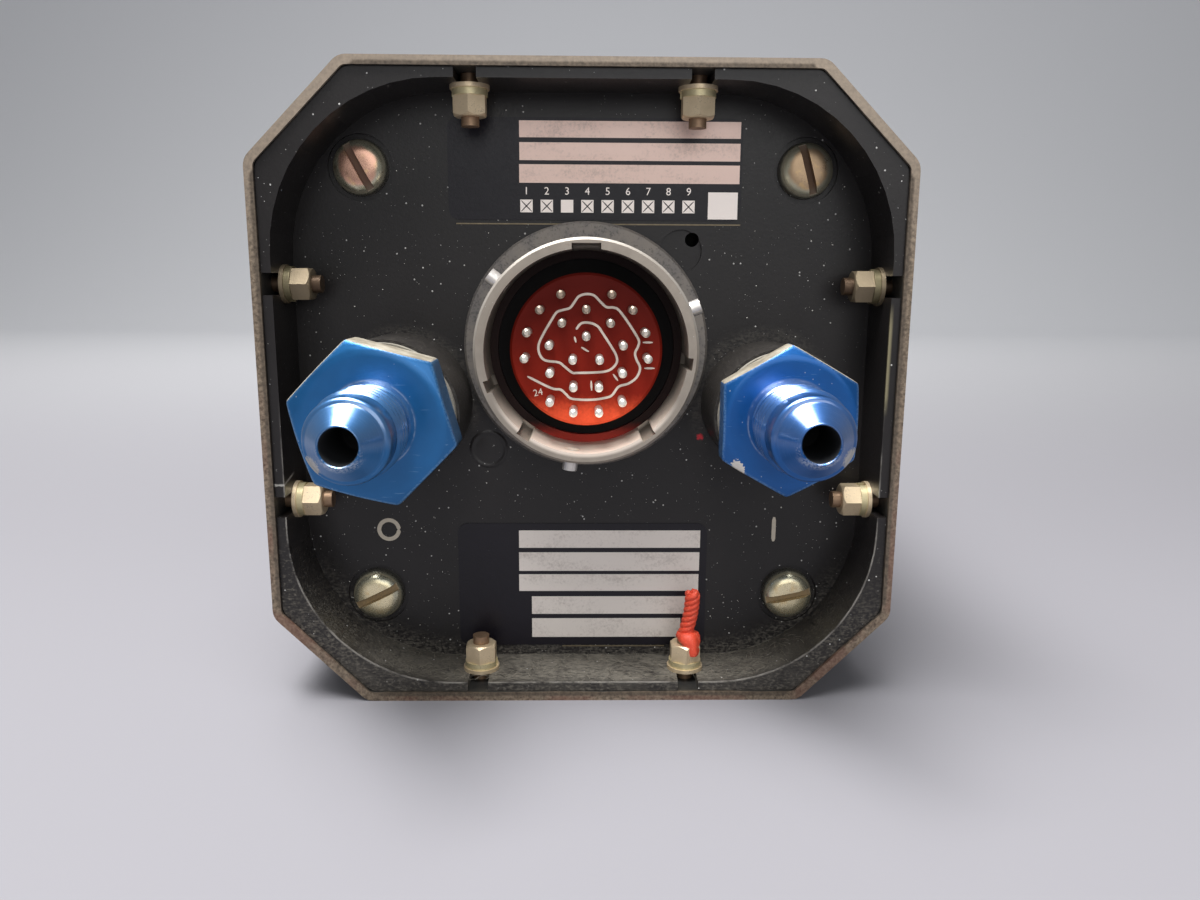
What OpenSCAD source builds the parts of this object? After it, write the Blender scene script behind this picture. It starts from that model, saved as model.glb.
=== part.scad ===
/* [Case] */
// Width and height of the sleeve across its flats
case_w = 80.6; // [79.6:0.1:82.6]
// Leg of each cut corner of the sleeve
corner_leg_len = 11.7; // [10.8:0.1:12.4]
// Outside radius of the folds in the sleeve sheet
fold_r = 2.2; // [1.6:0.1:2.8]
// Thickness of the sleeve sheet
sleeve_wall = 1.1; // [0.9:0.05:1.2]
// Length of the sleeve from the rear rim to the bezel
sleeve_len = 140; // [138:1:150]

/* [Rear casting] */
// How far the casting ends inside the rear rim
casting_recess_depth = 0.5; // [0.3:0.1:0.8]
// Depth of the pocket, from the casting's end to the rear plate
pocket_depth = 8.8; // [8.4:0.1:9.6]
// Wall of the pocket at the middle of its sides
pocket_wall = 1.2; // [1:0.1:1.5]
// Corner radius of the pocket as a share of its half width
pocket_corner_share = 0.54; // [0.48:0.005:0.56]
// Thickness of the rear plate
plate_t = 4; // [3.5:0.1:4.5]
// Height of the two port bosses above the rear plate
boss_h = 12.7; // [12:0.1:13]
// Distance of each port's axis from the inside of the pocket wall
port_edge_gap = 13.65; // [13.2:0.05:14]
// Height of the ports above the case axis
port_z = -1.65; // [-2.5:0.05:-1]
// Radius of the boss under the static fitting
static_boss_r = 9.3; // [8.8:0.1:9.4]
// Radius of the boss under the pitot fitting
pitot_boss_r = 8.4; // [8:0.1:8.6]

/* [Tube fittings] */
// Radius of the thread on both fittings
thread_r = 5; // [4.9:0.01:5.2]
// Length from the hexagon's face to the tip of the nose
nose_len = 13.97; // [13:0.1:15]
// Radius of the air passage in the nose
nose_bore_r = 1.96; // [1.7:0.01:2.1]
// Half angle of the flared seat
flare_angle = 37; // [35:1:39]
// Width across flats of the static fitting
static_af = 17.46; // [17:0.02:17.8]
// Thickness of the static fitting's hexagon
static_hex_t = 5.2; // [4.5:0.1:5.6]
// Width across flats of the pitot fitting
pitot_af = 15.875; // [15.4:0.025:16.4]
// Thickness of the pitot fitting's hexagon
pitot_hex_t = 3.3; // [3:0.1:4]
// Thickness of the round washers under the hexagons
fitting_washer_t = 1; // [0.8:0.1:1.4]

/* [Connector] */
// Sideways place of the connector's axis
connector_x = 0.3; // [0:0.1:0.5]
// Height of the connector's axis above the case axis
connector_z = 6.05; // [5.8:0.05:6.6]
// Clearance between the round flange and the static port's boss
flange_gap = 0.377; // [0.3:0.001:0.7]
// How far the round flange stands out from the barrel
flange_rim_w = 2.45; // [2:0.05:2.8]
// Wall of the barrel
barrel_wall = 1.3; // [1.2:0.05:1.5]
// Length of the barrel in front of its flange
barrel_len = 11; // [10.5:0.1:12]
// Thickness of the round flange
flange_t = 1.3; // [1:0.1:1.6]
// Width of the open ring between the barrel and the insert's raised face
insert_gap = 2.8; // [2.5:0.05:3.1]
// Depth of the raised face below the barrel's rim
insert_depth = 4.5; // [4.2:0.1:5]
// Spacing of the contacts as a share of the insert's radius
contact_spacing_share = 0.3455; // [0.33:0.0005:0.355]
// Radius of each contact as a share of their spacing
contact_radius_share = 0.1545; // [0.12:0.0005:0.18]
// Length of each contact above the insert's face
contact_len = 4; // [3:0.1:4.2]

/* [Fasteners] */
// Distance of each case screw from the start of the pocket's corner arc
screw_edge_gap = 3.45; // [2.6:0.05:4.4]
// Depth of the case screws below the rear rim
case_screw_y = 5.2; // [5:0.1:5.4]
// Radius of the case screws
case_screw_r = 1.1; // [1:0.05:1.15]
// Width of the slots in the pocket walls
slot_w = 2.7; // [2.5:0.1:3]
// Width across flats of the small nuts
nut_af = 3.9; // [3.6:0.1:4.1]
// Height of the small nuts
nut_h = 2.4; // [2:0.1:2.6]
// Radius of the cover screw heads
cover_head_r = 3.6; // [3.3:0.1:3.8]
// Radius of the cover screws
cover_screw_r = 1.8; // [1.5:0.05:2]

/* [Movement] */
// Share of the pillars' whole length between rear plate and capsule plate
rear_pillar_share = 0.1282; // [0.12:0.0002:0.134]
// Share of it in the long pillars beside the capsules
mid_pillar_share = 0.5754; // [0.56:0.0002:0.58]
// Share of it between the two movement plates
movement_pillar_share = 0.1744; // [0.168:0.0002:0.18]
// Radius of the pillars
pillar_r = 3; // [2.6:0.1:3.2]
// Thickness of the frame plates
frame_t = 2; // [1.6:0.1:2.4]
// Distance between pointer axis and rocking shaft axis
gear_centres = 21.6; // [21:0.1:22]
// Distance of the capsules from the sleeve
capsule_gap = 3.8; // [3.4:0.1:5]
// Thickness of the capsules
capsule_h = 7; // [6:0.5:8]
// Length of the arms on the rocking shafts
arm_len = 4; // [3.6:0.1:4.2]
// Distance of the Mach disc from the dial posts
mach_disc_gap = 4.5; // [3:0.5:6]

/* [Front] */
// Thickness of the bezel in front of the sleeve
bezel_t = 8; // [7:0.5:10]
// Length of the bezel's spigot inside the sleeve
spigot_len = 6; // [5:0.5:8]
// Width of the bezel's frame outside the glass
bezel_frame_w = 4; // [3.8:0.1:4.6]
// How far the bezel's lip covers the glass
glass_lip_w = 2.8; // [2.4:0.1:3.6]
// Thickness of the glass
glass_t = 2.5; // [2:0.1:3]
// Distance of the dial's edge inside the glass's edge
dial_gap = 0.8; // [0.6:0.1:2]
// Distance from the front movement plate to the dial
dial_post_len = 11; // [10.5:0.1:12]
// Distance of the airspeed pointer's tip from the dial's edge
pointer_tip_gap = 6.5; // [5:0.5:9]

/* [Hidden] */
$fn = 48;

// Clearances and the overrun of cuts
over_len = 1;
seat_gap = 0.02;
run_gap = 0.06;
casting_gap = 0.05;
hole_gap = 0.05;
free_gap = 0.3;
end_play_gap = 0.2;

// Depths along the case, counted from the rear rim towards the dial
y_plate = casting_recess_depth + pocket_depth;
y_inner = y_plate + plate_t;
y_spigot = sleeve_len - spigot_len;
pillars_len = y_spigot - y_inner - 3 * frame_t;
rear_pillar_len = pillars_len * rear_pillar_share;
mid_pillar_len = pillars_len * mid_pillar_share;
movement_pillar_len = pillars_len * movement_pillar_share;
y_boss = y_plate - boss_h;
y_hex = y_boss - fitting_washer_t;
y_cap = y_inner + rear_pillar_len;
y_cap_front = y_cap + frame_t;
y_rear = y_cap_front + mid_pillar_len;
y_rear_front = y_rear + frame_t;
y_move = y_rear_front + movement_pillar_len;
y_move_front = y_move + frame_t;
y_bezel = sleeve_len + bezel_t;
y_dial = y_move_front + dial_post_len;
y_static_tip = y_hex - static_hex_t - nose_len;
y_middle = (y_bezel + y_static_tip) / 2;

// Half widths of the nested outlines
casting_half = case_w / 2 - sleeve_wall - casting_gap;
pocket_half = case_w / 2 - sleeve_wall - casting_gap - pocket_wall;
pocket_corner_r = pocket_half * pocket_corner_share;
port_x = pocket_half - port_edge_gap;
fold_steps = 4;
pocket_steps = 12;

// Cover screws stand this far inside the pocket's corner arcs
spot_r = 4.2;
spot_depth = 0.5;
spot_land_w = 0.4;
corner_c = pocket_half - pocket_corner_r;
case_screw_x = corner_c - screw_edge_gap;
cover_half = corner_c + (pocket_corner_r - spot_r - spot_land_w) / sqrt(2);
cover_head_h = 2.3;
dome_ring_shares = [0, 0.5, 0.85, 1];
dome_drop_shares = [0, 0.03, 0.08, 0.17];
cover_slot_w = 1.1;
cover_slot_depth = 1.1;
cover_grip_len = 7;
cover_slot_angles = [115, 75, 27, 10];
cover_places = [[-1, 1], [1, 1], [-1, -1], [1, -1]];

// Case screws, washers and nuts
case_head_r = 2.1;
case_head_h = 0.95;
case_head_depth = 0.05;
case_slot_w = 0.5;
case_slot_depth = 0.4;
plain_washer_r = 2.43;
plain_washer_t = 0.5;
spring_washer_r = 2.2;
spring_washer_t = 0.8;
spring_gap_angle = 22;
spring_turn = 200;
screw_end_len = 1.1;
nut_bevel_r = 0.1;
nut_bevel_h = 0.45;
z_nut = pocket_half - plain_washer_t - spring_washer_t;
z_screw_end = z_nut - nut_h - screw_end_len;

// Sealed wire stub on the lower right case screw
seal_cap_r = 1.4;
seal_cap_t = 0.4;
seal_strand_r = 0.5;
seal_strand_x = 0.42;
seal_len = 5.4;
seal_twist = 540;
seal_slices = 16;
seal_sides = 6;
seal_lean = 6;

// Casting details
groove_w = 2;
groove_depth = 1;
passage_r = 2;
port_shank_len = 9;
recess_r = 2.77;
recess_depth = 0.4;
recess_out_w = 1.4;
vent_r = 0.9;
vent_out_w = 3.5;
vent_angle = 45;
plug_r = 2.1;
plug_out_w = 3.2;
plug_angle = 226.9;
plug_rise_h = 0.5;
plug_depth = 2.6;
connector_body_wall = 0.65;
connector_rear_len = 6;
connector_nut_rim_w = 2.5;
connector_nut_t = 3;

// Radii of the connector, from the room beside the static port's boss
flange_r = norm([port_x + connector_x, connector_z - port_z]) - static_boss_r - flange_gap;
barrel_r = flange_r - flange_rim_w;
barrel_bore_r = barrel_r - barrel_wall;
insert_r = barrel_bore_r - insert_gap;
contact_spacing = insert_r * contact_spacing_share;
contact_r = contact_spacing * contact_radius_share;
connector_body_r = barrel_bore_r + connector_body_wall;
connector_nut_af = 2 * (connector_body_r + connector_nut_rim_w);
recess_x = (flange_r + recess_out_w) * cos(vent_angle);
recess_z = (flange_r + recess_out_w) * sin(vent_angle);
vent_x = (flange_r + vent_out_w) * cos(vent_angle);
vent_z = (flange_r + vent_out_w) * sin(vent_angle);
plug_x = (flange_r + plug_out_w) * cos(plug_angle);
plug_z = (flange_r + plug_out_w) * sin(plug_angle);

// Connector details
rim_edge_w = 0.3;
key_depth = 0.6;
key_len = 9;
key_angles = [90, -6, -53, -127, -161];
key_w = 1.5;
key_width_shares = [2.33, 1, 1.2, 1.2, 1];
bayonet_angles = [22, 142, 262];
bayonet_r = 0.95;
bayonet_rise_h = 1.3;
bayonet_back_len = 2.5;
insert_base_depth = 9;
insert_rear_gap = 3.5;
seal_ring_t = 0.8;
seal_ring_w = 1;
contact_tip_share = 0.5;
cup_share = 1.57;
cup_len = 4;
inner_ring_share = 0.577;
middle_far_share = 1.56;
middle_near_share = 1.39;
outer_ring_share = 2.3;

// Fitting details
nose_tip_wall = 0.28;
cone_len = 2.4;
nose_groove_len = 0.9;
nose_groove_r = 3.9;
nose_collar_len = 2.7;
nose_collar_r = 4.65;
thread_start_len = 0.4;
nose_neck_len = 2.9;
nose_neck_r = 4.4;
hex_bevel_r = 0.2;
hex_bevel_h = 0.9;
washer_step_w = 0.35;
static_hex_turn = 45.4;
pitot_hex_turn = 30.2;

// Frame plates, pillars and their studs
plate_gap = 5.2;
plate_half = case_w / 2 - sleeve_wall - plate_gap;
plate_corner_r = 6;
stud_r = 1.5;
stud_len = 4.5;
stud_hole_len = 5;

// Gears
pinion_teeth = 12;
sector_teeth = 96;
gear_module = 2 * gear_centres / (pinion_teeth + sector_teeth);
pinion_r = gear_module * pinion_teeth / 2;
sector_r = gear_module * sector_teeth / 2;
addendum_share = 0.8;
dedendum_share = 1.1;
root_half_share = 0.3;
pitch_half_share = 0.2;
tip_half_share = 0.1;
airspeed_swing = 40;
mach_swing = 30;
shaft_angle = 36.87;
shaft_x = gear_centres * cos(shaft_angle);
shaft_z = gear_centres * sin(shaft_angle);

// Rocking shafts and links
shaft_r = 1.2;
pivot_r = 0.8;
bush_r = 2;
bush_flange_r = 3;
bush_flange_t = 0.8;
shaft_hole_r = 2.2;
y_capsule = (y_cap_front + y_rear) / 2;
arm_rest = 20;
arm_t = 1.5;
arm_hub_r = 2.6;
arm_tip_r = 1.3;
arm_pin_r = 0.6;
link_t = 1.6;
link_w = 2;
eye_half_w = 1.9;
eye_half_h = 1.6;
eye_gap = 0.1;
pin_x = arm_len * (1 + cos(arm_rest)) / 2;
pin_drop = arm_len * sin(arm_rest);
pin_play = arm_len * (1 - cos(arm_rest)) / 2;
link_x = shaft_x - pin_x;

// Capsules and shelves
capsule_side_gap = 6.19;
capsule_z = pillar_r + capsule_h / 2 + capsule_side_gap - cover_half;
capsule_r = case_w / 2 - sleeve_wall - link_x - capsule_gap;
capsule_wall = 0.4;
capsule_wave_h = 0.5;
capsule_waves = 4;
capsule_edge_h = 1;
capsule_boss_r = 2.6;
capsule_boss_h = 2;
stem_r = 2.5;
stem_bore_r = 1.29;
stem_bore_len = 2.5;
shelf_t = 1.5;
shelf_drop_h = 3.5;
shelf_w = 16;
shelf_tab_h = 8;
shelf_screw_x = 5;
shelf_screw_z = 4.75;
shelf_screw_r = 1;
shelf_head_r = 1.9;
shelf_head_h = 1.2;
capsule_nut_af = 7.5;
capsule_nut_h = 2;
stem_end_len = 1.4;
z_capsule_low = capsule_z - capsule_h / 2;
z_shelf = z_capsule_low - shelf_drop_h;
z_stem = z_shelf - shelf_t - capsule_nut_h - stem_end_len;
z_boss = capsule_z + capsule_h / 2 + capsule_boss_h;

// Pitot tube
tube_r = 1.25;
tube_bore_r = 0.85;
tube_seat_len = 3;
tube_lead_len = 5;
tube_side_gap = 2.2;
tube_low_gap = 3;
tube_turn_shares = [0.3, 0.4, 0.5, 2, 0.5, 0.5, 3, 0.5, 0.33, 0.7];
tube_sides = 8;
tube_steps = 4;
tube_hole_r = 2.4;

// Sector plates and pinions
sector_t = 1.5;
pinion_face = 2.5;
airspeed_gear_gap = 3.5;
mach_gear_gap = 7;
y_airspeed_gear = y_rear_front + airspeed_gear_gap;
y_mach_gear = y_airspeed_gear + mach_gear_gap;
sector_hub_r = 3;
sector_rim_w = 3;
sector_rib_w = 2.4;
sector_rib_angle = 9;

// Pointer spindle, hairspring and Mach sleeve
spindle_r = 0.8;
spindle_pivot_r = 0.5;
spindle_end_len = 4;
pointer_bush_r = 1.6;
collet_r = 1.4;
collet_len = 1.3;
spring_gap = 0.1;
spring_r = 7.5;
spring_wire_w = 0.2;
spring_turns = 5;
spring_h = 0.8;
spring_stud_r = 0.6;
sleeve_r = 1.6;
sleeve_start_len = 2.2;
sleeve_end_gap = 2;
mach_bush_r = 2.6;
mach_bush_flange_r = 3.6;
mach_disc_t = 0.6;
mach_hub_r = 3;
mach_hub_len = 2.2;
mach_disc_back_gap = 2.8;

// Dial and pointer
dial_t = 1;
dial_hole_r = 2.2;
dial_post_r = 2;
dial_post_edge_gap = 5;
dial_screw_r = 1;
dial_head_r = 2;
dial_head_h = 0.9;
dial_screw_len = 4;
mach_window_edge_gap = 2.5;
mach_window_w = 5;
mach_window_angle = 40;
pointer_gap = 1.6;
pointer_t = 0.5;
pointer_hub_r = 3.2;
pointer_hub_t = 1.6;
pointer_root_w = 2.6;
pointer_neck_w = 1.4;
pointer_tail_len = 9;
pointer_tail_w = 3.6;
pointer_tip_share = 0.8;

// Radii of the glass, the dial and what lies on it
glass_r = case_w / 2 - bezel_frame_w;
window_r = glass_r - glass_lip_w;
dial_r = glass_r - dial_gap;
dial_post_ring_r = dial_r - dial_post_edge_gap;
mach_disc_r = dial_post_ring_r - dial_post_r - mach_disc_gap;
mach_window_outer_r = mach_disc_r - mach_window_edge_gap;
mach_window_inner_r = mach_window_outer_r - mach_window_w;
pointer_len = dial_r - pointer_tip_gap;

// Bezel stack
bezel_lip_t = 3;
bezel_bevel_w = 1.2;
bezel_flare_w = 1.8;
glass_seal_t = 0.5;
glass_seal_w = 2.4;
glass_ring_t = 3;
glass_gap = 0.2;
bezel_screw_r = 1.5;
bezel_head_r = 2.9;
bezel_head_h = 1.6;
bezel_slot_w = 0.8;
bezel_slot_depth = 0.7;

// Points of a cut-corner square, counter-clockwise, with its half width and corner leg
function cut_square(half, leg) = [
    [half, leg - half], [half, half - leg], [half - leg, half], [leg - half, half],
    [-half, half - leg], [-half, leg - half], [leg - half, -half], [half - leg, -half]
];

// Corner leg of the same outline moved inwards by a distance
function inner_leg(inset) = corner_leg_len - (2 - sqrt(2)) * inset;

// Arc that rounds the corner at p between its neighbours a and b
function corner_arc(p, a, b, r, steps) =
    let (
        u = (a - p) / norm(a - p),
        v = (b - p) / norm(b - p),
        half = acos(u * v) / 2,
        c = p + (u + v) / norm(u + v) * r / sin(half),
        s = p + u * r / tan(half) - c,
        e = p + v * r / tan(half) - c,
        a0 = atan2(s.y, s.x),
        turn = atan2(s.x * e.y - s.y * e.x, s * e)
    )
    [for (i = [0:steps]) c + r * [cos(a0 + turn * i / steps), sin(a0 + turn * i / steps)]];

function rounded(points, r, steps) =
    let (n = len(points))
    [for (i = [0:n - 1])
        each corner_arc(points[i], points[(i + n - 1) % n], points[(i + 1) % n], r, steps)];

// Moves the model so that its base middle is at the origin
module place() {
    translate([0, -y_middle, case_w / 2]) children();
}

// Outline in X and Z made solid from depth y0 to depth y1
module slab(y0, y1) {
    translate([0, y1, 0]) rotate([90, 0, 0]) linear_extrude(height = y1 - y0) children();
}

// Profile of radius and depth turned about an axis along Y
module turned(x, z) {
    translate([x, 0, z]) rotate([-90, 0, 0]) rotate_extrude() children();
}

// Round bar along Y
module bar(x, z, y0, y1, r) {
    translate([x, y0, z]) rotate([-90, 0, 0]) cylinder(r = r, h = y1 - y0);
}

// Cone along Y with radius r0 at y0 and r1 at y1
module taper(x, z, y0, y1, r0, r1) {
    translate([x, y0, z]) rotate([-90, 0, 0]) cylinder(r1 = r0, r2 = r1, h = y1 - y0);
}

module case_outline(inset) {
    polygon(rounded(cut_square(case_w / 2 - inset, inner_leg(inset)), fold_r - inset,
        fold_steps));
}

module casting_outline() {
    inset = sleeve_wall + casting_gap;
    polygon(rounded(cut_square(casting_half, inner_leg(inset)), fold_r, fold_steps));
}

// Copies children at the eight case screws, their heads towards local +Z
module at_case_screws() {
    for (side = [0:3]) {
        for (s = [-1, 1]) {
            rotate([0, 90 * side, 0]) translate([s * case_screw_x, case_screw_y, 0]) children();
        }
    }
}

module case_sleeve() {
    color([0.12, 0.12, 0.12]) place() difference() {
        slab(0, sleeve_len) case_outline(0);
        slab(-over_len, sleeve_len + over_len) case_outline(sleeve_wall);
        at_case_screws() translate([0, 0, case_w / 2 - sleeve_wall - over_len]) {
            cylinder(r = case_screw_r + hole_gap, h = sleeve_wall + 2 * over_len);
        }
        at_case_screws() translate([0, 0, case_w / 2 - case_head_depth - case_head_h]) {
            cylinder(r1 = case_screw_r + hole_gap, r2 = case_head_r + hole_gap,
                h = case_head_h);
        }
        at_case_screws() translate([0, 0, case_w / 2 - case_head_depth]) {
            cylinder(r = case_head_r + hole_gap, h = over_len);
        }
    }
}

module pocket_outline() {
    corner = pocket_half;
    polygon(rounded([[corner, -corner], [corner, corner], [-corner, corner],
        [-corner, -corner]], pocket_corner_r, pocket_steps));
}

module casting_dish() {
    difference() {
        slab(casting_recess_depth, y_inner) casting_outline();
        slab(casting_recess_depth - over_len, y_plate) pocket_outline();
        for (side = [0:3]) {
            for (s = [-1, 1]) {
                rotate([0, 90 * side, 0]) translate([s * case_screw_x, 0, pocket_half - over_len]) {
                    translate([-slot_w / 2, casting_recess_depth - over_len, 0]) {
                        cube([slot_w, case_screw_y - casting_recess_depth + over_len,
                            pocket_wall + 2 * over_len]);
                    }
                    translate([0, case_screw_y, 0]) {
                        cylinder(r = slot_w / 2, h = pocket_wall + 2 * over_len);
                    }
                }
            }
        }
        difference() {
            slab(y_inner - 2 * groove_w, y_inner - groove_w) square(case_w + over_len,
                center = true);
            slab(y_inner - 2 * groove_w - over_len, y_inner - groove_w + over_len) groove_floor();
        }
    }
}

module groove_floor() {
    inset = sleeve_wall + casting_gap + groove_depth;
    polygon(rounded(cut_square(casting_half - groove_depth, inner_leg(inset)), fold_r,
        fold_steps));
}

module rear_casting() {
    color([0.06, 0.06, 0.06]) place() difference() {
        union() {
            casting_dish();
            bar(-port_x, port_z, y_boss, y_plate + over_len, static_boss_r);
            bar(port_x, port_z, y_boss, y_plate + over_len, pitot_boss_r);
        }
        for (s = [-1, 1]) {
            bar(s * port_x, port_z, y_boss - over_len, y_boss + port_shank_len,
                thread_r + hole_gap);
        }
        bar(-port_x, port_z, y_boss, y_inner + over_len, passage_r);
        bar(port_x, port_z, y_boss, y_inner + over_len, tube_r + hole_gap);
        bar(connector_x, connector_z, y_plate - over_len, y_inner + over_len,
            connector_body_r + hole_gap);
        bar(connector_x + recess_x, connector_z + recess_z, y_plate - over_len,
            y_plate + recess_depth, recess_r);
        bar(connector_x + vent_x, connector_z + vent_z, y_plate - over_len, y_inner + over_len, vent_r);
        bar(connector_x + plug_x, connector_z + plug_z, y_plate - over_len, y_plate + plug_depth,
            plug_r + seat_gap);
        for (p = cover_places) {
            bar(p.x * cover_half, p.y * cover_half, y_plate - over_len, y_plate + spot_depth,
                spot_r);
            bar(p.x * cover_half, p.y * cover_half, y_plate, y_inner + over_len,
                cover_screw_r + hole_gap);
        }
    }
}

module case_gasket() {
    color([0.1, 0.1, 0.1]) place() slab(y_inner - 2 * groove_w + seat_gap,
        y_inner - groove_w - seat_gap) {
        difference() {
            case_outline(sleeve_wall);
            groove_floor();
        }
    }
}

// Flared nose, collar, thread and neck, with depths counted from the tip
module nose_profile(y_tip) {
    tip_r = nose_bore_r + nose_tip_wall;
    y_cone = y_tip + cone_len;
    y_collar = y_cone + nose_groove_len;
    y_thread = y_collar + nose_collar_len;
    y_neck = y_tip + nose_len - nose_neck_len;
    polygon([
        [0, y_tip], [tip_r, y_tip],
        [tip_r + cone_len * tan(flare_angle), y_cone],
        [nose_groove_r, y_cone], [nose_groove_r, y_collar],
        [nose_collar_r, y_collar], [nose_collar_r, y_thread],
        [thread_r, y_thread + thread_start_len], [thread_r, y_neck],
        [nose_neck_r, y_neck + thread_start_len],
        [nose_neck_r, y_tip + nose_len + over_len], [0, y_tip + nose_len + over_len]
    ]);
}

// Hexagon whose corners are bevelled at the end that starts at y0
module bevelled_hex(x, z, y0, y1, af, turn) {
    intersection() {
        translate([x, 0, z]) slab(y0, y1) rotate([0, 0, turn]) {
            circle(r = af / 2 / cos(30), $fn = 6);
        }
        turned(x, z) polygon([
            [0, y0], [af / 2 - hex_bevel_r, y0],
            [af / 2 / cos(30) + hex_bevel_r, y0 + hex_bevel_h],
            [af / 2 / cos(30) + hex_bevel_r, y1], [0, y1]
        ]);
    }
}

module tube_fitting(x, af, hex_t, turn) {
    y_face = y_hex - hex_t;
    y_tip = y_face - nose_len;
    difference() {
        union() {
            turned(x, port_z) nose_profile(y_tip);
            bevelled_hex(x, port_z, y_face, y_hex, af, turn);
            bar(x, port_z, y_hex - over_len, y_hex + port_shank_len, thread_r);
        }
        bar(x, port_z, y_tip - over_len, y_hex + port_shank_len + over_len, nose_bore_r);
    }
}

module static_fitting() {
    color([0.08, 0.33, 0.65]) place() tube_fitting(-port_x, static_af, static_hex_t,
        static_hex_turn);
}

module pitot_fitting() {
    color([0.05, 0.27, 0.62]) place() tube_fitting(port_x, pitot_af, pitot_hex_t,
        pitot_hex_turn);
}

module fitting_washers() {
    color([0.36, 0.34, 0.3]) place() {
        for (s = [-1, 1]) {
            r = (s < 0 ? static_boss_r : pitot_boss_r) - washer_step_w;
            difference() {
                bar(s * port_x, port_z, y_hex, y_boss, r);
                bar(s * port_x, port_z, y_hex - over_len, y_boss + over_len, thread_r + hole_gap);
            }
        }
    }
}

// Depths of the connector, from the barrel's rim
y_flange = y_plate - flange_t;
y_rim = y_flange - barrel_len;
y_insert = y_rim + insert_depth;
y_insert_base = y_rim + insert_base_depth;
y_connector_rear = y_inner + connector_rear_len;
y_insert_rear = y_connector_rear - insert_rear_gap;

module connector_shell() {
    color([0.62, 0.59, 0.55]) place() difference() {
        turned(connector_x, connector_z) polygon([
            [barrel_bore_r, y_rim], [barrel_r - rim_edge_w, y_rim], [barrel_r, y_rim + rim_edge_w],
            [barrel_r, y_flange], [flange_r - rim_edge_w, y_flange],
            [flange_r, y_flange + rim_edge_w], [flange_r, y_plate], [connector_body_r, y_plate],
            [connector_body_r, y_connector_rear], [barrel_bore_r, y_connector_rear]
        ]);
        for (i = [0:len(key_angles) - 1]) {
            w = key_w * key_width_shares[i];
            translate([connector_x, 0, connector_z]) rotate([0, -key_angles[i], 0]) {
                translate([barrel_bore_r - over_len, y_rim - over_len, -w / 2]) {
                    cube([over_len + key_depth, key_len + over_len, w]);
                }
            }
        }
        at_bayonets() cylinder(r = bayonet_r + seat_gap, h = barrel_r);
    }
}

// Copies children with their local +Z pointing out through each bayonet pin
module at_bayonets() {
    for (a = bayonet_angles) {
        translate([connector_x, y_rim + bayonet_back_len, connector_z]) {
            rotate([0, 90 - a, 0]) translate([0, 0, barrel_bore_r - over_len]) children();
        }
    }
}

module bayonet_pins() {
    color([0.78, 0.76, 0.72]) place() at_bayonets() translate([0, 0, over_len + free_gap]) {
        cylinder(r = bayonet_r, h = barrel_r + bayonet_rise_h - barrel_bore_r - free_gap);
    }
}

// Places of the contacts: three inner, nine middle and twelve outer
function polar(r, a) = [r * cos(a), r * sin(a)];
contact_places = [
    for (i = [0:2]) polar(contact_spacing * inner_ring_share, 90 + 120 * i),
    for (i = [0:8]) polar(contact_spacing * (i % 3 == 0 ? middle_far_share : middle_near_share),
        90 + 40 * i),
    for (i = [0:14]) if (i % 5 != 0) polar(contact_spacing * outer_ring_share, 90 + 24 * i)
];

module connector_insert() {
    color([0.55, 0.08, 0.04]) place() difference() {
        turned(connector_x, connector_z) polygon([
            [0, y_insert], [insert_r - rim_edge_w, y_insert], [insert_r, y_insert + rim_edge_w],
            [insert_r, y_insert_base], [barrel_bore_r - seat_gap, y_insert_base],
            [barrel_bore_r - seat_gap, y_insert_rear], [0, y_insert_rear]
        ]);
        for (p = contact_places) {
            bar(connector_x + p.x, connector_z + p.y, y_insert - over_len, y_insert_rear + over_len,
                contact_r + seat_gap);
        }
    }
}

module connector_seal() {
    color([0.75, 0.1, 0.06]) place() turned(connector_x, connector_z) {
        translate([barrel_bore_r - seat_gap - seal_ring_w, y_insert_base - seal_ring_t]) {
            square([seal_ring_w, seal_ring_t]);
        }
    }
}

module connector_contacts() {
    y_tip = y_insert - contact_len;
    tip_r = contact_r * contact_tip_share;
    color([0.8, 0.78, 0.7]) place() {
        for (p = contact_places) {
            turned(connector_x + p.x, connector_z + p.y) polygon([
                [0, y_tip], [tip_r, y_tip], [contact_r, y_tip + tip_r],
                [contact_r, y_insert_rear],
                [contact_r * cup_share, y_insert_rear],
                [contact_r * cup_share, y_insert_rear + cup_len],
                [0, y_insert_rear + cup_len]
            ]);
        }
    }
}

module connector_nut() {
    color([0.7, 0.68, 0.64]) place() difference() {
        translate([connector_x, 0, connector_z]) slab(y_inner, y_inner + connector_nut_t) {
            circle(r = connector_nut_af / 2 / cos(30), $fn = 6);
        }
        bar(connector_x, connector_z, y_inner - over_len, y_inner + connector_nut_t + over_len,
            connector_body_r + hole_gap);
    }
}

module blanking_plug() {
    color([0.07, 0.07, 0.07]) place() turned(connector_x + plug_x, connector_z + plug_z) {
        polygon([
            [0, y_plate - plug_rise_h], [plug_r - plug_rise_h, y_plate - plug_rise_h],
            [plug_r, y_plate], [plug_r, y_plate + plug_depth], [0, y_plate + plug_depth]
        ]);
    }
}

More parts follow.
